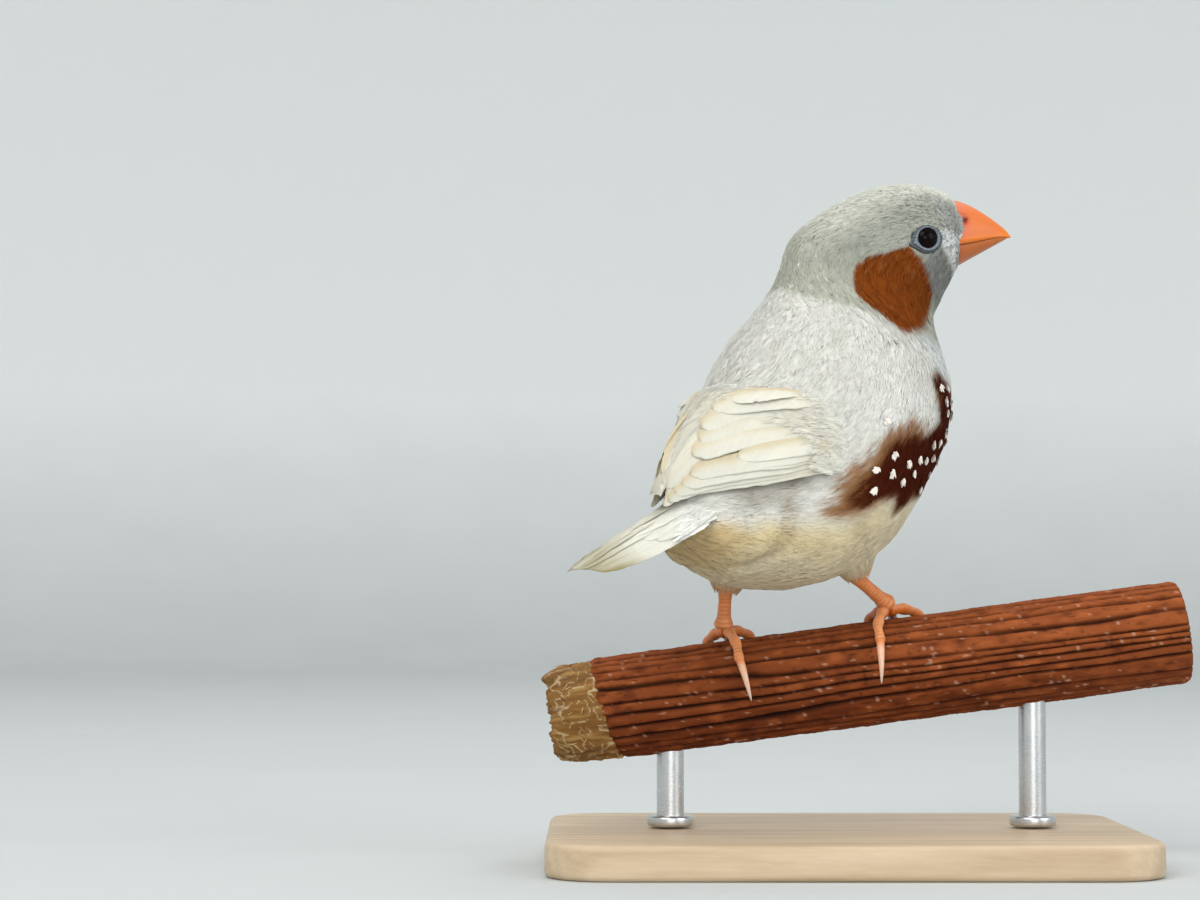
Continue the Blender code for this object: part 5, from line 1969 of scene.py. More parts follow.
@dataclass
class Leg:
    """One bare leg: a scaled shank, four gripping toes and their claws."""

    stance: Stance
    perch: Perch
    name: str
    foot_x: float
    hip: Sequence[float]
    cuff: Sequence[float]
    splays: dict
    claw_drift: float
    shank_radius: float = 1.12
    toe_radius: float = 0.95
    claw_length: float = 6.2
    toe_lengths: dict = field(default_factory=lambda: {"hind": 9.6, "inner": 7.6, "middle": 10.6, "outer": 8.2})
    shank_shape: Sequence = ((0, 1.12), (0.15, 0.95), (0.4, 0.84), (0.75, 0.92), (0.93, 1.3), (1.0, 1.1))
    toe_start: float = 4.0
    claw_root: float = 0.5
    scute: float = 0.62
    sides: int = 20

    @property
    def rest(self) -> float:
        """How far a toe's middle lies from the perch's axis."""
        return self.perch.radius + self.perch.gap + self.toe_radius + 0.05

    def tube(self, data: MeshData, middle: Array, radii: Array, up: Array, scaled: bool,
             tints: Array) -> None:
        """Add a limb of round section with raised scutes along its upper side.

        Args:
            data: What the limb is added to.
            middle: Its middle line.
            radii: Its radius at each point of the line.
            up: The way that its scutes face.
            scaled: Whether it has scutes.
            tints: Its colour at each point of the line.
        """
        way = unit(np.gradient(middle, axis=0))
        side = unit(np.cross(up, way))
        top = np.cross(way, side)
        turn = circle(self.sides)
        run = np.concatenate(([0.0], np.cumsum(np.linalg.norm(np.diff(middle, axis=0), axis=-1))))
        phase = (run / self.scute) % 1.0
        fall = 0.5 + 0.5 * np.cos(2 * math.pi * np.clip(phase * 6 - 5.0, 0, 1))
        plate = (0.35 + 0.65 * phase) * fall
        facing = ramp(np.cos(turn), -0.2, 0.5)
        raised = plate[:, None] * facing[None]
        bump = (raised * 0.10 - 0.03) if scaled else 0.0
        sine, cosine = np.sin(turn)[None, :, None], np.cos(turn)[None, :, None]
        ring = side[:, None] * sine + top[:, None] * cosine
        points = middle[:, None] + ring * (radii[:, None] * (1.0 + bump))[..., None]
        colour = tints[:, None]
        if scaled:
            seam = ramp(0.35 - plate, 0.0, 0.3)[:, None] * facing[None]
            colour = over(over(colour, tone(160, 74, 34), seam * 0.7), tone(240, 182, 136),
                          raised * 0.40)
            colour = colour * (1.0 + 0.10 * noise(points, 0.8, 51))[..., None]
        add_tube(data, points, colour, True)

    @staticmethod
    def skin_tints(share: Array) -> Array:
        """Return the skin's orange, paler where a share is higher."""
        return over(tone(197, 98, 18), tone(228, 162, 108), share)

    def shank(self, data: MeshData) -> None:
        """Add the shank, from the cuff to the perch.

        Args:
            data: What it is added to.
        """
        foot = self.perch.point(self.foot_x, 0.0, self.rest + 0.8 - 0.05)
        top = self.stance.point(*self.cuff, self.stance.body_heading)
        heel = top + unit(top - foot) * 1.4
        f = np.linspace(0.0, 1.0, 130)
        middle = heel + (foot - heel) * f[:, None]
        ahead = unit(np.array((0.5, 0.86, 0.0)))
        radii = self.shank_radius * np.interp(f, *np.array(self.shank_shape).T)
        self.tube(data, middle, radii, np.broadcast_to(-ahead, middle.shape), True,
                  self.skin_tints(f * 0.15))

    def curl(self, x: Array, reach: Array, rise: Array, way: float) -> tuple:
        """Bend a toe's or a claw's middle line round the perch.

        Args:
            x: Places along the perch.
            reach: How far round it they are, in millimetres.
            rise: How far they lie over the toes' rest.
            way: 1 for the hind toe and -1 for the others.

        Returns:
            The line and the ways that face away from the perch.
        """
        turn = way * (np.degrees(reach / self.rest) - self.toe_start)
        middle = self.perch.point(x, turn, self.rest + rise)
        return middle, unit(middle - self.perch.point(x, turn, 0.0))

    def toe(self, data: MeshData, claws: MeshData, kind: str, splay: float) -> None:
        """Add one toe and its claw.

        Args:
            data: What the toe is added to.
            claws: What the claw is added to.
            kind: Which toe it is.
            splay: How far it spreads along the perch.
        """
        way = 1.0 if kind == "hind" else -1.0
        length = self.toe_lengths[kind]
        t = np.linspace(0.0, 1.0, 96)
        pad = 0.5 + 0.5 * np.cos(2 * math.pi * (t * 3.0 + 0.1))
        radius = self.toe_radius * (1.0 - 0.22 * t) * (0.80 + 0.18 * pad)
        middle, up = self.curl(self.foot_x + splay * np.minimum(1.0, t * 1.4) ** 0.8, length * t, 0.0,
                               way)
        self.tube(data, middle, radius, up, True, self.skin_tints(t * 0.35))
        t = np.linspace(0.0, 1.0, 34)
        arch = 0.55 * np.sin(math.pi * t * 0.9) - 0.3 * t
        radius = self.toe_radius * 0.60 * (1.0 - t ** 1.3) ** 0.75 + 0.05
        middle, up = self.curl(self.foot_x + splay + self.claw_drift * t, length - self.claw_root
                               + (self.claw_length + self.claw_root) * t, arch, way)
        horn = over(tone(218, 134, 84), tone(224, 176, 146), ramp(t, 0.12, 0.3))
        self.tube(claws, middle, radius, up, False, over(horn, tone(214, 188, 172), ramp(t, 0.3, 1.0)))

    def build(self, skin: Material, horn: Material) -> None:
        """Make the leg's skin and its claws.

        Args:
            skin: The skin's material.
            horn: The claws' material.
        """
        data, claws = MeshData(), MeshData()
        self.shank(data)
        for kind, splay in self.splays.items():
            self.toe(data, claws, kind, splay)
        data.piece("scaled_leg_" + self.name, skin, Slot.SKIN, ["leg_" + self.name])
        claws.piece("claws_" + self.name, horn, Slot.SKIN)


@dataclass
class Plumage:
    """The skin and the coat of small feathers over body, head and thighs.

    Each ring of the coat has how deep its roots lie. Each ring of the sizes has the
    spacing of the feathers and their length, all in millimetres.
    """

    shape: BodyShape
    eyes: Sequence[Eye]
    legs: Sequence[Leg]
    depth_rings: Sequence[float] = (0.0, 2.0, 6.0, 11.0, 14.0, 17.0, 20.0, 22.0)
    depths: Sequence[float] = (0.4, 0.40, 0.36, 0.34, 0.32, 0.30, 0.25, 0.2)
    size_rings: Sequence[float] = (0.0, 3.0, 6.0, 11.0, 14.0, 17.0, 19.5, 22.0)
    spacings: Sequence[float] = (0.74, 0.80, 0.76, 0.70, 0.58, 0.46, 0.36, 0.31)
    lengths: Sequence[float] = (3.4, 4.4, 4.4, 4.0, 3.2, 2.3, 1.4, 0.8)
    lengthwise: Sequence = (
        ("rump", 3.2), ("vent", 5.0), ("belly", 6.2), ("flanks", 7.3), ("sides", 8.4), ("breast", 9.6),
        ("collar", 10.9), ("neck", 12.4), ("nape", 14.2), ("cheeks", 16.2), ("crown", 18.2), ("brow", 20.0),
        ("face", 22.0))
    thigh_radius: float = 4.6
    cuff_radius: float = 1.75

    def __post_init__(self) -> None:
        """Ruffle the body's surface."""
        self.surface = self.shape.fluffed()

    def depth(self, u: Array) -> Array:
        """Return the coat's depth at a place along the body."""
        return np.interp(u * self.shape.last, self.depth_rings, self.depths)

    def skin(self, markings: Markings, material: Material) -> None:
        """Make one closed skin for the body, head and thighs.

        Args:
            markings: The plumage's colours.
            material: The pieces' material.
        """
        u, v = np.meshgrid(np.linspace(0.0, 1.0, 221), np.arange(180) / 180.0, indexing="ij")
        spot = self.surface.at(u, v)
        data = MeshData()
        points = spot.point - spot.normal * self.depth(u)[..., None]
        # The skin is the markings darkened a little, as painted shade deep under the coat.
        add_tube(data, points, markings.paint(u, v, spot.point) * 0.95,
                 places=MAP_MARGIN + MAP_ROOM * joined(u, v))
        for number, leg in enumerate(self.legs):
            surface = self.thigh_surface(leg)
            rings = surface.grid[:42:2, ::3] - surface.normals[:42:2, ::3] * 0.6
            down, round_leg = np.meshgrid(np.linspace(0.001, 0.008, rings.shape[0]),
                                          np.linspace(0.02, 0.95, rings.shape[1]), indexing="ij")
            # The thigh skin is the belly's colour darkened as painted shade under the thigh feathers, turning
            # to the leg's orange near the cuff.
            tints = over(markings.belly * 0.9, tone(214, 126, 66), ramp(down * 1000.0, 5.4, 7.2))
            add_tube(data, rings, tints, places=joined(down + 0.009 * number, round_leg))
        data.piece("plumage_skin", material, Slot.PALE,
                   ["torso", "neck", "head", "thigh_left", "thigh_right"])

    def thigh_surface(self, leg: Leg) -> Surface:
        """Return the feathered thigh as a surface from the hip to the cuff.

        Args:
            leg: The leg below it.

        Returns:
            The surface.
        """
        stance = self.shape.stance
        hip, cuff = (stance.point(*end, stance.body_heading) for end in (leg.hip, leg.cuff))
        f = np.linspace(0.0, 1.35, 55)
        thigh, narrow = self.thigh_radius, self.cuff_radius
        radii = np.interp(f, (0, 0.3, 0.6, 0.85, 1.0, 1.35),
                          (thigh, thigh * 0.95, thigh * 0.7, narrow * 1.25, narrow * 0.9,
                           narrow * 0.72))
        way = unit(cuff - hip)
        side = unit(np.cross(way, np.array((0.0, 1.0, 0.2))))
        turn = circle(90)[:, None]
        ring = side * np.cos(turn) + np.cross(way, side) * np.sin(turn)
        middle = hip + (cuff - hip) * f[:, None]
        return Surface(middle[:, None] + ring[None] * radii[:, None, None], True)

    def coat(self, markings: Markings, material: Material) -> None:
        """Make the coat in lengths from the rump to the face.

        Args:
            markings: The plumage's colours.
            material: The pieces' material.
        """
        maker = FeatherCoat(self.surface, -1.0, markings.paint, 61)

        def spacing(u: Array, v: Array) -> Array:
            """Return the feathers' spacing at places of the body."""
            return np.interp(u * self.shape.last, self.size_rings, self.spacings)

        def keep(u: Array, v: Array, points: Array) -> Array:
            """Keep clear of the ends, the wings' roots and the eyes.

            Args:
                u: Places along the surface.
                v: Places across or round it.
                points: The points there.

            Returns:
                True where feathers grow.
            """
            place, turn = u * self.shape.last, turn_at(v)
            grown = (place > 0.4) & (place < 21.95)
            grown &= ~((place > 3.8) & (place < 5.5) & (turn > 26) & (turn < 64))
            for eye in self.eyes:
                grown &= eye.clear(points, 0.0)
            return grown

        u, v = maker.roots(spacing, keep)
        place = u * self.shape.last
        low = 0.0
        for name, high in self.lengthwise:
            picked = (place > low) & (place <= high)
            data = MeshData()
            self.coat_length(maker, data, u[picked], v[picked], (low + high) / 2, 7 if low < 15 else 5)
            data.piece("coat_" + name, material, Slot.PALE if low < 10.5 else Slot.GREY)
            low = high
        self.spots(maker, markings, material)
        self.thighs(markings, material)

    def coat_length(self, maker: FeatherCoat, data: MeshData, u: Array, v: Array, middle: float,
                    barbs: int) -> None:
        """Add one length of the coat.

        Args:
            maker: Lays the feathers.
            data: What they are added to.
            u: Their roots' places along the body.
            v: Their roots' places round it.
            middle: The ring in the middle of this length.
            barbs: How many barbs each feather has.
        """
        length = float(np.interp(middle, self.size_rings, self.lengths))
        style = CoatStyle(length, length * 0.24, 0.050 + 0.007 * length, 0.05 + 0.020 * length, barbs)
        yaw = maker.draw.normal(0.0, 0.11, len(u)) + 0.12 * noise(self.surface.at(u, v).point, 6.0, 16)
        scale = np.interp(u * self.shape.last, self.size_rings, self.lengths) / length
        scale = scale * maker.draw.uniform(0.85, 1.12, len(u)) * self.eye_room(u, v, length)
        maker.lay(data, u, v, self.depth(u), style, scale, yaw)

    def eye_room(self, u: Array, v: Array, length: float) -> Array:
        """Shorten feathers whose tips would lie over an eye's ring.

        Args:
            u: The roots' places along the body.
            v: The roots' places round it.
            length: The feathers' length in millimetres.

        Returns:
            A share of the length for each feather.
        """
        room = np.ones(len(u))
        spot = self.surface.at(u, v)
        for share in (1.0, 0.8, 0.6, 0.4):
            tip = self.surface.at(u - share * length / spot.along_mm, v).point
            for eye in self.eyes:
                room = np.where(eye.clear(tip, -0.35), room, np.minimum(room, share - 0.2))
        return np.maximum(room, 0.22)

    def spots(self, maker: FeatherCoat, markings: Markings, material: Material) -> None:
        """Make the round white spots of the flanks and the breast.

        Args:
            maker: Lays the feathers.
            markings: The plumage's colours.
            material: The pieces' material.
        """
        data = MeshData()
        style = CoatStyle(1.18, 0.56, 0.20, 0.45, 7)
        place, turn = np.array(markings.flank_spots).T
        u, count = place / self.shape.last, len(place)
        for side in (1, -1):
            v = side * turn / 360.0
            along = self.surface.at(u, v).along_mm
            for step in (0.30, 0.0, -0.22):
                scale = maker.draw.uniform(0.8, 1.05, count)
                tints = markings.spot * maker.draw.uniform(0.93, 1.0, (count, 1))
                maker.lay(data, u + (step + 0.45) / along, v, np.full(count, -0.18), style, scale,
                          maker.draw.normal(0.0, 0.12, count), np.full(count, 0.46), tints)
        data.piece("coat_spots", material, Slot.PALE)

    def thighs(self, markings: Markings, material: Material) -> None:
        """Make the soft feathers of the thighs, down to the cuffs.

        Args:
            markings: The plumage's colours.
            material: The pieces' material.
        """

        def paint(u: Array, v: Array, points: Array) -> Array:
            """Return the belly's colour, and the cuff's below."""
            return over(markings.belly, markings.cuff, ramp(u, 0.50, 0.78))

        data = MeshData()
        for number, leg in enumerate(self.legs):
            FeatherCoat(self.thigh_surface(leg), 1.0, paint, 71 + number).grow(
                data, 0.50, lambda u, v, points: (u > 0.2) & (u < 0.66), 0.4,
                CoatStyle(3.4, 0.60, 0.055, 0.04, 7), (0.75, 1.2), (0.0, 0.12),
                taper=lambda u: np.interp(u, (0.2, 0.50, 0.66), (1.0, 0.60, 0.30)))
        data.piece("coat_thighs", material, Slot.PALE)


@dataclass
class Stand:
    """The plain display stand: a wooden base and two steel rods with collars."""

    perch: Perch
    rod_radius: float = 2.0
    rod_depth: float = 6.6
    collar_radius: float = 3.4
    collar_height: float = 1.6
    bevel: float = 0.45
    corner_radius: float = 9.0
    eased: float = 0.9

    @staticmethod
    def rounded(made: bpy.types.Object, width: float, segments: int, weighted: bool = False) -> None:
        """Round a piece's edges.

        Args:
            made: The piece, which is the active object.
            width: The rounding's width in millimetres.
            segments: How many steps it has.
            weighted: Whether it takes the weighted edges, or else the sharp ones.
        """
        bevel = made.modifiers.new("rounded", "BEVEL")
        bevel.limit_method = "WEIGHT" if weighted else "ANGLE"
        bevel.angle_limit = math.radians(60)
        bevel.width = width * MM
        bevel.segments = segments
        bpy.ops.object.modifier_apply(modifier=bevel.name)

    def base(self, material: Material) -> None:
        """Make the base with rounded corners and eased edges.

        Args:
            material: The pieces' material.
        """
        low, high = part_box("stand_base")
        bpy.ops.object.select_all(action="DESELECT")
        bpy.ops.mesh.primitive_cube_add(size=1.0, location=(high + low) / 2)
        made = bpy.context.object
        made.name = "display_base"
        made.scale = high - low
        bpy.ops.object.transform_apply(location=True, rotation=True, scale=True)
        weight = made.data.attributes.new("bevel_weight_edge", "FLOAT", "EDGE")
        for edge in made.data.edges:
            first, second = (made.data.vertices[i].co for i in edge.vertices)
            weight.data[edge.index].value = 1.0 if abs(first.z - second.z) > MM else 0.0
        self.rounded(made, self.corner_radius, 12, True)
        self.rounded(made, self.eased, 4)
        bpy.ops.object.shade_smooth_by_angle(angle=math.radians(35))
        made.data.materials.append(material)
        place_piece(made, ["stand_base"])

    def cylinder(self, radius: float, low: Vector, height: float) -> bpy.types.Object:
        """Add an upright cylinder.

        Args:
            radius: Its radius in millimetres.
            low: The middle of its foot, in metres.
            height: Its height in metres.

        Returns:
            The cylinder.
        """
        bpy.ops.mesh.primitive_cylinder_add(vertices=64, radius=radius * MM, depth=height,
                                            location=low + Vector((0.0, 0.0, height / 2)))
        return bpy.context.object

    def rod(self, number: int, material: Material) -> None:
        """Make one rod with its collar.

        Args:
            number: The rod's number.
            material: The pieces' material.
        """
        node = "stand_rod_" + str(number)
        low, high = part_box(node)
        foot = Vector(((low.x + high.x) / 2, (low.y + high.y) / 2, low.z))
        bpy.ops.object.select_all(action="DESELECT")
        collar = self.cylinder(self.collar_radius, foot, self.collar_height * MM)
        self.rounded(collar, self.bevel, 4)
        rise = math.tan(math.radians(self.perch.tilt)) * foot.x / MM
        top = (self.perch.height + rise - self.rod_depth) * MM
        foot.z += 0.2 * MM
        rod = self.cylinder(self.rod_radius, foot, top - foot.z)
        collar.select_set(True)
        rod.select_set(True)
        bpy.context.view_layer.objects.active = rod
        bpy.ops.object.join()
        bpy.ops.object.transform_apply(location=True, rotation=True, scale=True)
        bpy.ops.object.shade_smooth_by_angle(angle=math.radians(35))
        rod.name = "steel_rod_" + str(number)
        rod.data.materials.clear()
        rod.data.materials.append(material)
        place_piece(rod, [node])


@dataclass(frozen=True)
class WoodFinish:
    """Pale oiled wood with long straight grain."""

    name: str = "pale_wood"
    light: Sequence[float] = (0.66, 0.52, 0.36)
    dark: Sequence[float] = (0.42, 0.29, 0.17)

    def build(self) -> Material:
        """Build the material from nodes.

        Returns:
            The material.
        """
        shader = Shader(self.name, 0.42)
        long_grain = shader.grain(2.2, 4.0, (0.07, 1.0, 1.0))
        pores = shader.grain(0.35, 2.0, (0.10, 1.0, 1.0))
        share = long_grain * 1.5 - 0.25 + (pores - 0.5) * 0.35
        shader.feed("Base Color", shader.mixed(share, self.dark, self.light))
        shader.feed("Roughness", pores * 0.2 + 0.36)
        shader.bump(long_grain * 0.5 + pores * 0.5, 0.05, 0.5)
        return shader.material


@dataclass(frozen=True)
class SteelFinish:
    """Brushed steel, with lines round the rods."""

    name: str = "brushed_steel"

    def build(self) -> Material:
        """Build the material from nodes.

        Returns:
            The material.
        """
        shader = Shader(self.name, 0.3, 1.0)
        lines = shader.grain(0.5, 3.0, (0.15, 0.15, 4.0))
        smudge = shader.grain(4.0)
        shader.feed("Base Color", shader.mixed(smudge, (0.52, 0.53, 0.54), (0.68, 0.68, 0.69)))
        shader.feed("Roughness", lines * 0.18 + smudge * 0.12 + 0.14)
        shader.bump(lines, 0.01, 0.4)
        return shader.material


@dataclass(frozen=True)
class EyeFinish:
    """A wet, nearly black eye."""

    name: str = "wet_eye"

    def build(self) -> Material:
        """Build the material from nodes.

        Returns:
            The material.
        """
        shader = Shader(self.name, 0.08)
        depth = shader.grain(0.6)
        shader.feed("Base Color", shader.mixed(depth, (0.002, 0.001, 0.001), (0.006, 0.002, 0.002)))
        shader.fixed("Coat Weight", 0.0)
        shader.fixed("Specular IOR Level", 0.07)
        return shader.material


@dataclass
class Studio:
    """The floor, the lights and the camera, in metres but for the camera's place."""

    camera_place: Sequence[float] = (-35.3, -441.0, 38.3)
    camera_rise: float = 2.862
    lens: float = 90.0
    sensor: float = 36.0
    floor_radius: float = 1.6
    floor_bend: float = 0.5
    floor_top: float = 1.6
    floor_sides: int = 96
    aim: Sequence[float] = (0.0, 0.0, 0.06)

    def floor(self) -> None:
        """Make a pale floor that curves up into a far wall all round."""
        flat, bend, sides = self.floor_radius - self.floor_bend, self.floor_bend, self.floor_sides
        profile = [(0.4, 0.0), (flat, 0.0)]
        for k in range(1, 13):
            turn = math.radians(90.0 * k / 12)
            profile.append((flat + bend * math.sin(turn), bend - bend * math.cos(turn)))
        profile.append((self.floor_radius, self.floor_top))
        radius, height = np.array(profile).T[..., None]
        rings = joined(radius * np.cos(circle(sides)), radius * np.sin(circle(sides)), height)
        points = np.concatenate((rings.reshape(-1, 3), np.zeros((1, 3)))) / MM
        edge = np.arange(sides)
        disk = joined(edge, (edge + 1) % sides, len(points) - 1)
        quads = grid_faces(len(profile), sides)
        data = MeshData()
        data.add(points, np.concatenate((disk, quads[:, (0, 2, 1)], quads[:, (0, 3, 2)])),
                 tone(232, 235, 235))
        shader = Shader("pale_backdrop", 0.9)
        place = shader.node("ShaderNodeTexCoord", {}, {}, "Object")
        height = shader.node("ShaderNodeSeparateXYZ", {}, {0: place}, "Z")
        share = height * 6.0 + (shader.grain(60.0, 2.0) - 0.5) * 0.2
        shader.feed("Base Color", shader.mixed(share, (0.56, 0.585, 0.585), (0.84, 0.865, 0.86)))
        data.build("studio_floor", shader.material)

    def light(self, name: str, place: Sequence[float], size: float, power: float,
              colour: Sequence[float]) -> bpy.types.Object:
        """Add a soft lamp aimed at the bird.

        Args:
            name: The lamp's name.
            place: Where it stands.
            size: Its disk's width.
            power: Its power in watts.
            colour: Its colour.

        Returns:
            The lamp.
        """
        lamp = bpy.data.lights.new(name, "AREA")
        lamp.shape = "DISK"
        lamp.size = size
        lamp.energy = power
        lamp.color = tuple(colour)
        made = bpy.data.objects.new(name, lamp)
        made.location = place
        made.rotation_euler = (Vector(self.aim) - Vector(place)).to_track_quat("-Z", "Y").to_euler()
        bpy.context.scene.collection.objects.link(made)
        return made

    def lights(self) -> None:
        """Add the lamps, of which the low one lights the model alone, and the pale world."""
        self.light("key_light", (-0.45, -0.80, 0.80), 0.8, 7.0, (1.0, 0.985, 0.96))
        self.light("fill_light", (0.85, -0.60, 0.40), 0.8, 3.6, (0.98, 0.99, 1.0))
        self.light("top_light", (0.1, 0.25, 1.0), 0.8, 2.6, (1.0, 1.0, 1.0))
        low = self.light("low_light", (0.05, -1.1, 0.12), 0.6, 2.8, (1.0, 0.99, 0.97))
        lit = bpy.data.collections.new("lit_from_low")
        for piece in bpy.data.objects:
            if piece.type == "MESH" and piece.name != "studio_floor":
                lit.objects.link(piece)
        low.light_linking.receiver_collection = lit
        world = bpy.data.worlds.new("studio_world")
        world.use_nodes = True
        background = world.node_tree.nodes["Background"]
        background.inputs[0].default_value = (0.90, 0.915, 0.92, 1.0)
        background.inputs[1].default_value = 0.78
        bpy.context.scene.world = world

    def build(self) -> None:
        """Set up the scene round the model."""
        self.floor()
        self.lights()
        scene = bpy.context.scene
        scene.view_settings.view_transform = "Standard"
        camera = bpy.data.cameras.new("photo_camera")
        camera.lens = self.lens
        camera.sensor_width = self.sensor
        camera.clip_start = 0.01
        made = bpy.data.objects.new("photo_camera", camera)
        made.location = Vector(self.camera_place) * MM
        made.rotation_euler = (math.radians(90.0 + self.camera_rise), 0.0, 0.0)
        scene.collection.objects.link(made)
        scene.camera = made


WING_QUILLS = (
    *between(Quill(0.42, 0.62, 0.90, 0.28, 1.1, 0.05, 0.08, 0.55),
             Quill(0.42, 0.93, 1.00, 0.88, 0.9, 0.00, 0.08, 0.55), 7),
    *between(Quill(0.10, 0.30, 0.93, 0.34, 1.7, 0.16, 0.12, 0.72),
             Quill(0.18, 0.02, 0.90, 0.03, 1.5, 0.28, 0.12, 0.72), 6),
    *between(Quill(0.04, 0.97, 0.95, 0.90, 1.1, 0.24, 0.12, 0.80),
             Quill(0.03, 0.86, 0.73, 0.57, 1.6, 0.38, 0.16, 0.80), 4),
    Quill(0.02, 0.78, 0.62, 0.64, 1.6, 0.32, 0.12, 0.70),
    Quill(0.00, 0.70, 0.50, 0.60, 1.8, 0.34, 0.14, 0.66),
    Quill(0.00, 0.60, 0.67, 0.32, 2.2, 0.36, 0.16, 0.74),
    Quill(0.00, 0.52, 0.60, 0.24, 2.1, 0.39, 0.16, 0.72),
    Quill(0.00, 0.44, 0.52, 0.15, 2.2, 0.43, 0.18, 0.70),
    Quill(0.00, 0.36, 0.38, 0.13, 2.2, 0.47, 0.18, 0.66),
    Quill(0.00, 0.24, 0.27, 0.13, 2.3, 0.52, 0.22, 0.60),
)
# The ninth number of a tail feather is how strong the painted shade near its tip is; the coverts have none.
TAIL_QUILLS = (
    *between(Quill(0.20, 0.08, 0.92, 0.12, 1.5, 0.04, -0.05, 0.74, 1.0),
             Quill(0.20, 0.46, 1.00, 0.46, 2.0, 0.16, -0.05, 0.80, 0.7), 6),
    *between(Quill(0.20, 0.92, 0.92, 0.88, 1.5, 0.04, 0.05, 0.74, 1.0),
             Quill(0.20, 0.56, 0.99, 0.54, 2.0, 0.16, 0.05, 0.80, 0.7), 6),
    *between(Quill(0.06, 0.22, 0.52, 0.14, 1.7, 0.08, -0.04, 0.45),
             Quill(0.06, 0.40, 0.62, 0.40, 2.3, 0.13, -0.04, 0.45), 3),
    *between(Quill(0.06, 0.78, 0.52, 0.86, 1.7, 0.08, 0.04, 0.45),
             Quill(0.06, 0.56, 0.62, 0.56, 2.3, 0.13, 0.04, 0.45), 4),
)


def build_wings(shape: BodyShape, vane: Material, soft: Material) -> None:
    """Make both wings with their soft shoulder feathers.

    Args:
        shape: The body's shape.
        vane: The long feathers' material.
        soft: The small feathers' material.
    """
    # The third colour is painted shade where feathers overlap; the fourth is painted shade on their undersides.
    colours = VaneColours(tone(221, 218, 204), tone(227, 225, 213), tone(201, 183, 144),
                          tone(190, 184, 156))

    def paint(u: Array, v: Array, points: Array) -> Array:
        """Return the shoulder's colour, greyer towards the body, with random blotches of the overlap shade's
        buff.
        """
        cream = over(colours.vane, Markings.mantle, ramp(u, 0.16, 0.0))
        return over(cream, colours.covered, 0.45 * ramp(noise(points, 2.2, 12), 0.1, 0.9))

    def keep(u: Array, v: Array, points: Array) -> Array:
        """Keep to the shoulder, behind a wavering edge."""
        edge = 0.13 + 0.05 * np.sin(v * math.pi) + 0.05 * noise(points, 2.0, 13)
        return (u < edge) & (v > 0.02)

    for number, (name, side) in enumerate((("right", 1), ("left", -1))):
        sheet = Wing(shape, side).sheet()
        data = MeshData()
        VaneMaker(sheet, side, 81 + number).lay(data, WING_QUILLS, colours)
        data.piece("flight_feathers_" + name, vane, Slot.WING, ["wing_" + name], "barbs")
        data = MeshData()
        FeatherCoat(sheet, 1.0, paint, 91 + number).grow(
            data, 0.54, keep, 0.3, CoatStyle(3.9, 0.85, 0.062, 0.42, 8), (0.7, 1.1),
            (-0.06 * side, 0.10),
            lambda u: np.interp(u, (0.0, 0.08, 0.22), (0.10, 0.36, 0.50)))
        data.piece("shoulder_coverts_" + name, soft, Slot.WING)


def build_ridge(shape: BodyShape, soft: Material) -> None:
    """Make the soft back feathers that close the gap between the folded wings.

    Args:
        shape: The body's shape.
        soft: The feathers' material.
    """
    left, right = (Wing(shape, side).sheet() for side in (-1, 1))
    edge = 7
    grid = np.concatenate((left.grid[:, edge:0:-1], right.grid[:, :edge + 1]), axis=1)
    surface = Surface(grid, False, 1.0)

    def paint(u: Array, v: Array, points: Array) -> Array:
        """Return the mantle's grey, creamier behind."""
        return over(Markings.mantle, tone(222, 218, 203), ramp(u, 0.05, 0.3))

    data = MeshData()
    FeatherCoat(surface, 1.0, paint, 121).grow(
        data, 0.46, lambda u, v, points: (u < 0.90) & (np.abs(v - 0.5) < 0.36 - 0.24 * u), 0.4,
        CoatStyle(4.4, 0.8, 0.070, 0.52, 8), (0.75, 1.15), (0.0, 0.08))
    data.piece("back_plumes", soft, Slot.WING)


def build_tail(stance: Stance, vane: Material, soft: Material) -> None:
    """Make the tail's long feathers and its soft coverts.

    Args:
        stance: How the bird stands.
        vane: The long feathers' material.
        soft: The small feathers' material.
    """
    # The third colour is painted shade where feathers overlap; the olive fourth is painted shade on their
    # undersides and near the tips of the outer feathers.
    colours = VaneColours(tone(218, 217, 205), tone(225, 224, 213), tone(200, 196, 178),
                          tone(146, 136, 92))
    sheet = Tail(stance).sheet()
    data = MeshData()
    VaneMaker(sheet, 1, 101).lay(data, TAIL_QUILLS, colours)
    data.piece("tail_feathers", vane, Slot.WING, ["tail"], "barbs")

    def paint(u: Array, v: Array, points: Array) -> Array:
        """Return the coverts' white with faint grey bands."""
        band = ramp(np.sin(u * 40.0 + np.abs(v - 0.5) * 5.0), 0.2, 1.0)
        return over(tone(238, 237, 230), tone(208, 208, 204), band * 0.3)

    data = MeshData()
    FeatherCoat(sheet, 1.0, paint, 103).grow(
        data, 0.55, lambda u, v, points: (u > 0.04) & (u < 0.37 + 0.04 * noise(points, 2.0, 17)), 0.2,
        CoatStyle(4.8, 1.0, 0.085, 0.50, 8), (0.75, 1.1), (0.0, 0.08),
        lambda u: np.interp(u, (0.0, 0.2, 0.38), (0.46, 0.34, 0.16)))
    data.piece("tail_coverts", soft, Slot.WING)


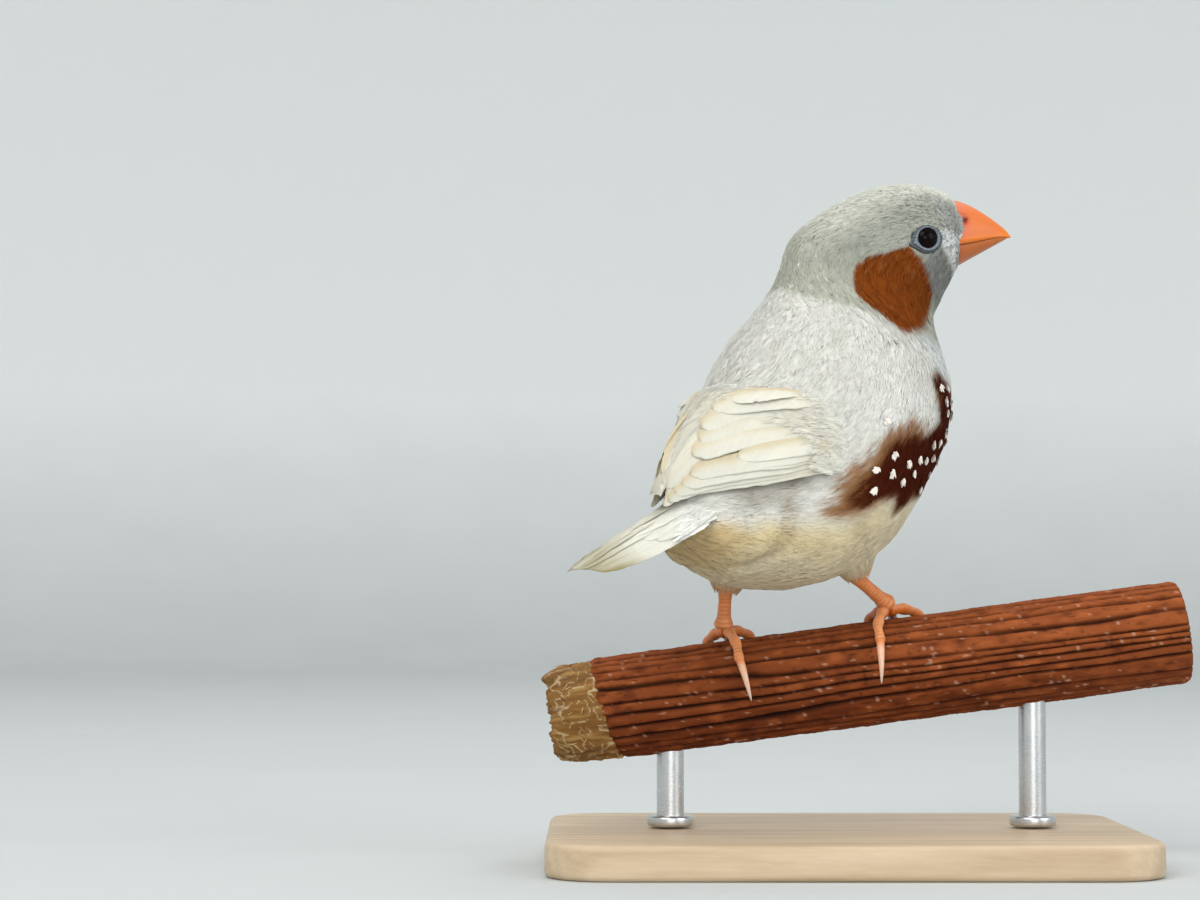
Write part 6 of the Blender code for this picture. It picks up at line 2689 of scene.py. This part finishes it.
def build_bird(stance: Stance, perch: Perch) -> None:
    """Make the bird's plumage, wings, tail, eyes, bill and legs.

    Args:
        stance: How the bird stands.
        perch: What it stands on.
    """
    shape = BodyShape(stance)
    legs = (
        Leg(stance, perch, "left", -15.9, (-20.6, -6.2, 45.5), (-21.3, -6.9, 39.2),
            {"hind": 1.3, "inner": 3.9, "middle": 0.9, "outer": -2.6}, 0.9),
        Leg(stance, perch, "right", 8.3, (-11.8, 8.2, 47.0), (-9.2, 8.2, 41.4),
            {"hind": -2.5, "inner": -2.8, "middle": 1.0, "outer": 4.8}, -0.8),
    )
    eyes = (Eye(stance, shape, 1, "right"), Eye(stance, shape, -1, "left"))
    down = PlumageFinish("soft_plumage").build()
    vane = VaneFinish("barbed_vanes").build()
    horn = PaintedFinish("bill_horn", 0.36, 0.5, 0.10, 0.02, coat=0.15, subsurface=0.08,
                         specular=0.2).build()
    lids = PaintedFinish("bare_lids", 0.5, 0.3, 0.2, 0.03).build()
    scales = PaintedFinish("leg_scales", 0.45, 0.5, 0.2, 0.03, coat=0.1, subsurface=0.1).build()
    claws = PaintedFinish("claw_horn", 0.3, 0.6, 0.12, 0.01, coat=0.2, subsurface=0.1).build()
    markings = Markings(shape)
    plumage = Plumage(shape, eyes, legs)
    plumage.skin(markings, down)
    plumage.coat(markings, down)
    build_wings(shape, vane, down)
    build_ridge(shape, down)
    build_tail(stance, vane, down)
    wet = EyeFinish().build()
    for eye in eyes:
        eye.ball(wet)
        eye.lids(lids)
    bill = Bill(stance)
    bill.half("upper_bill", True, horn)
    bill.half("lower_bill", False, horn)
    bill.feather_edge(markings, down)
    for leg in legs:
        leg.build(scales, claws)


def build_perch_and_stand(perch: Perch) -> None:
    """Make the perch's bark and its gnawed end, the base and the rods.

    Args:
        perch: The perch's sizes.
    """
    perch.bark(PaintedFinish("grooved_bark", 0.82, 0.9, 0.35, 0.16, stretch=(0.35, 1.0, 1.0),
                             specular=0.12).build())
    bare = PaintedFinish("gnawed_wood", 0.85, 0.6, 0.3, 0.12, stretch=(0.3, 1.0, 1.0)).build()
    perch.bare(bare)
    perch.fibres(bare)
    stand = Stand(perch)
    stand.base(WoodFinish().build())
    steel = SteelFinish().build()
    for number in (1, 2):
        stand.rod(number, steel)


def main() -> None:
    """Build every piece of the model's looks."""
    logging.basicConfig(level=logging.INFO, format="%(message)s")
    perch = Perch()
    build_bird(Stance(), perch)
    build_perch_and_stand(perch)
    Studio().build()


if __name__ == "__main__":
    main()
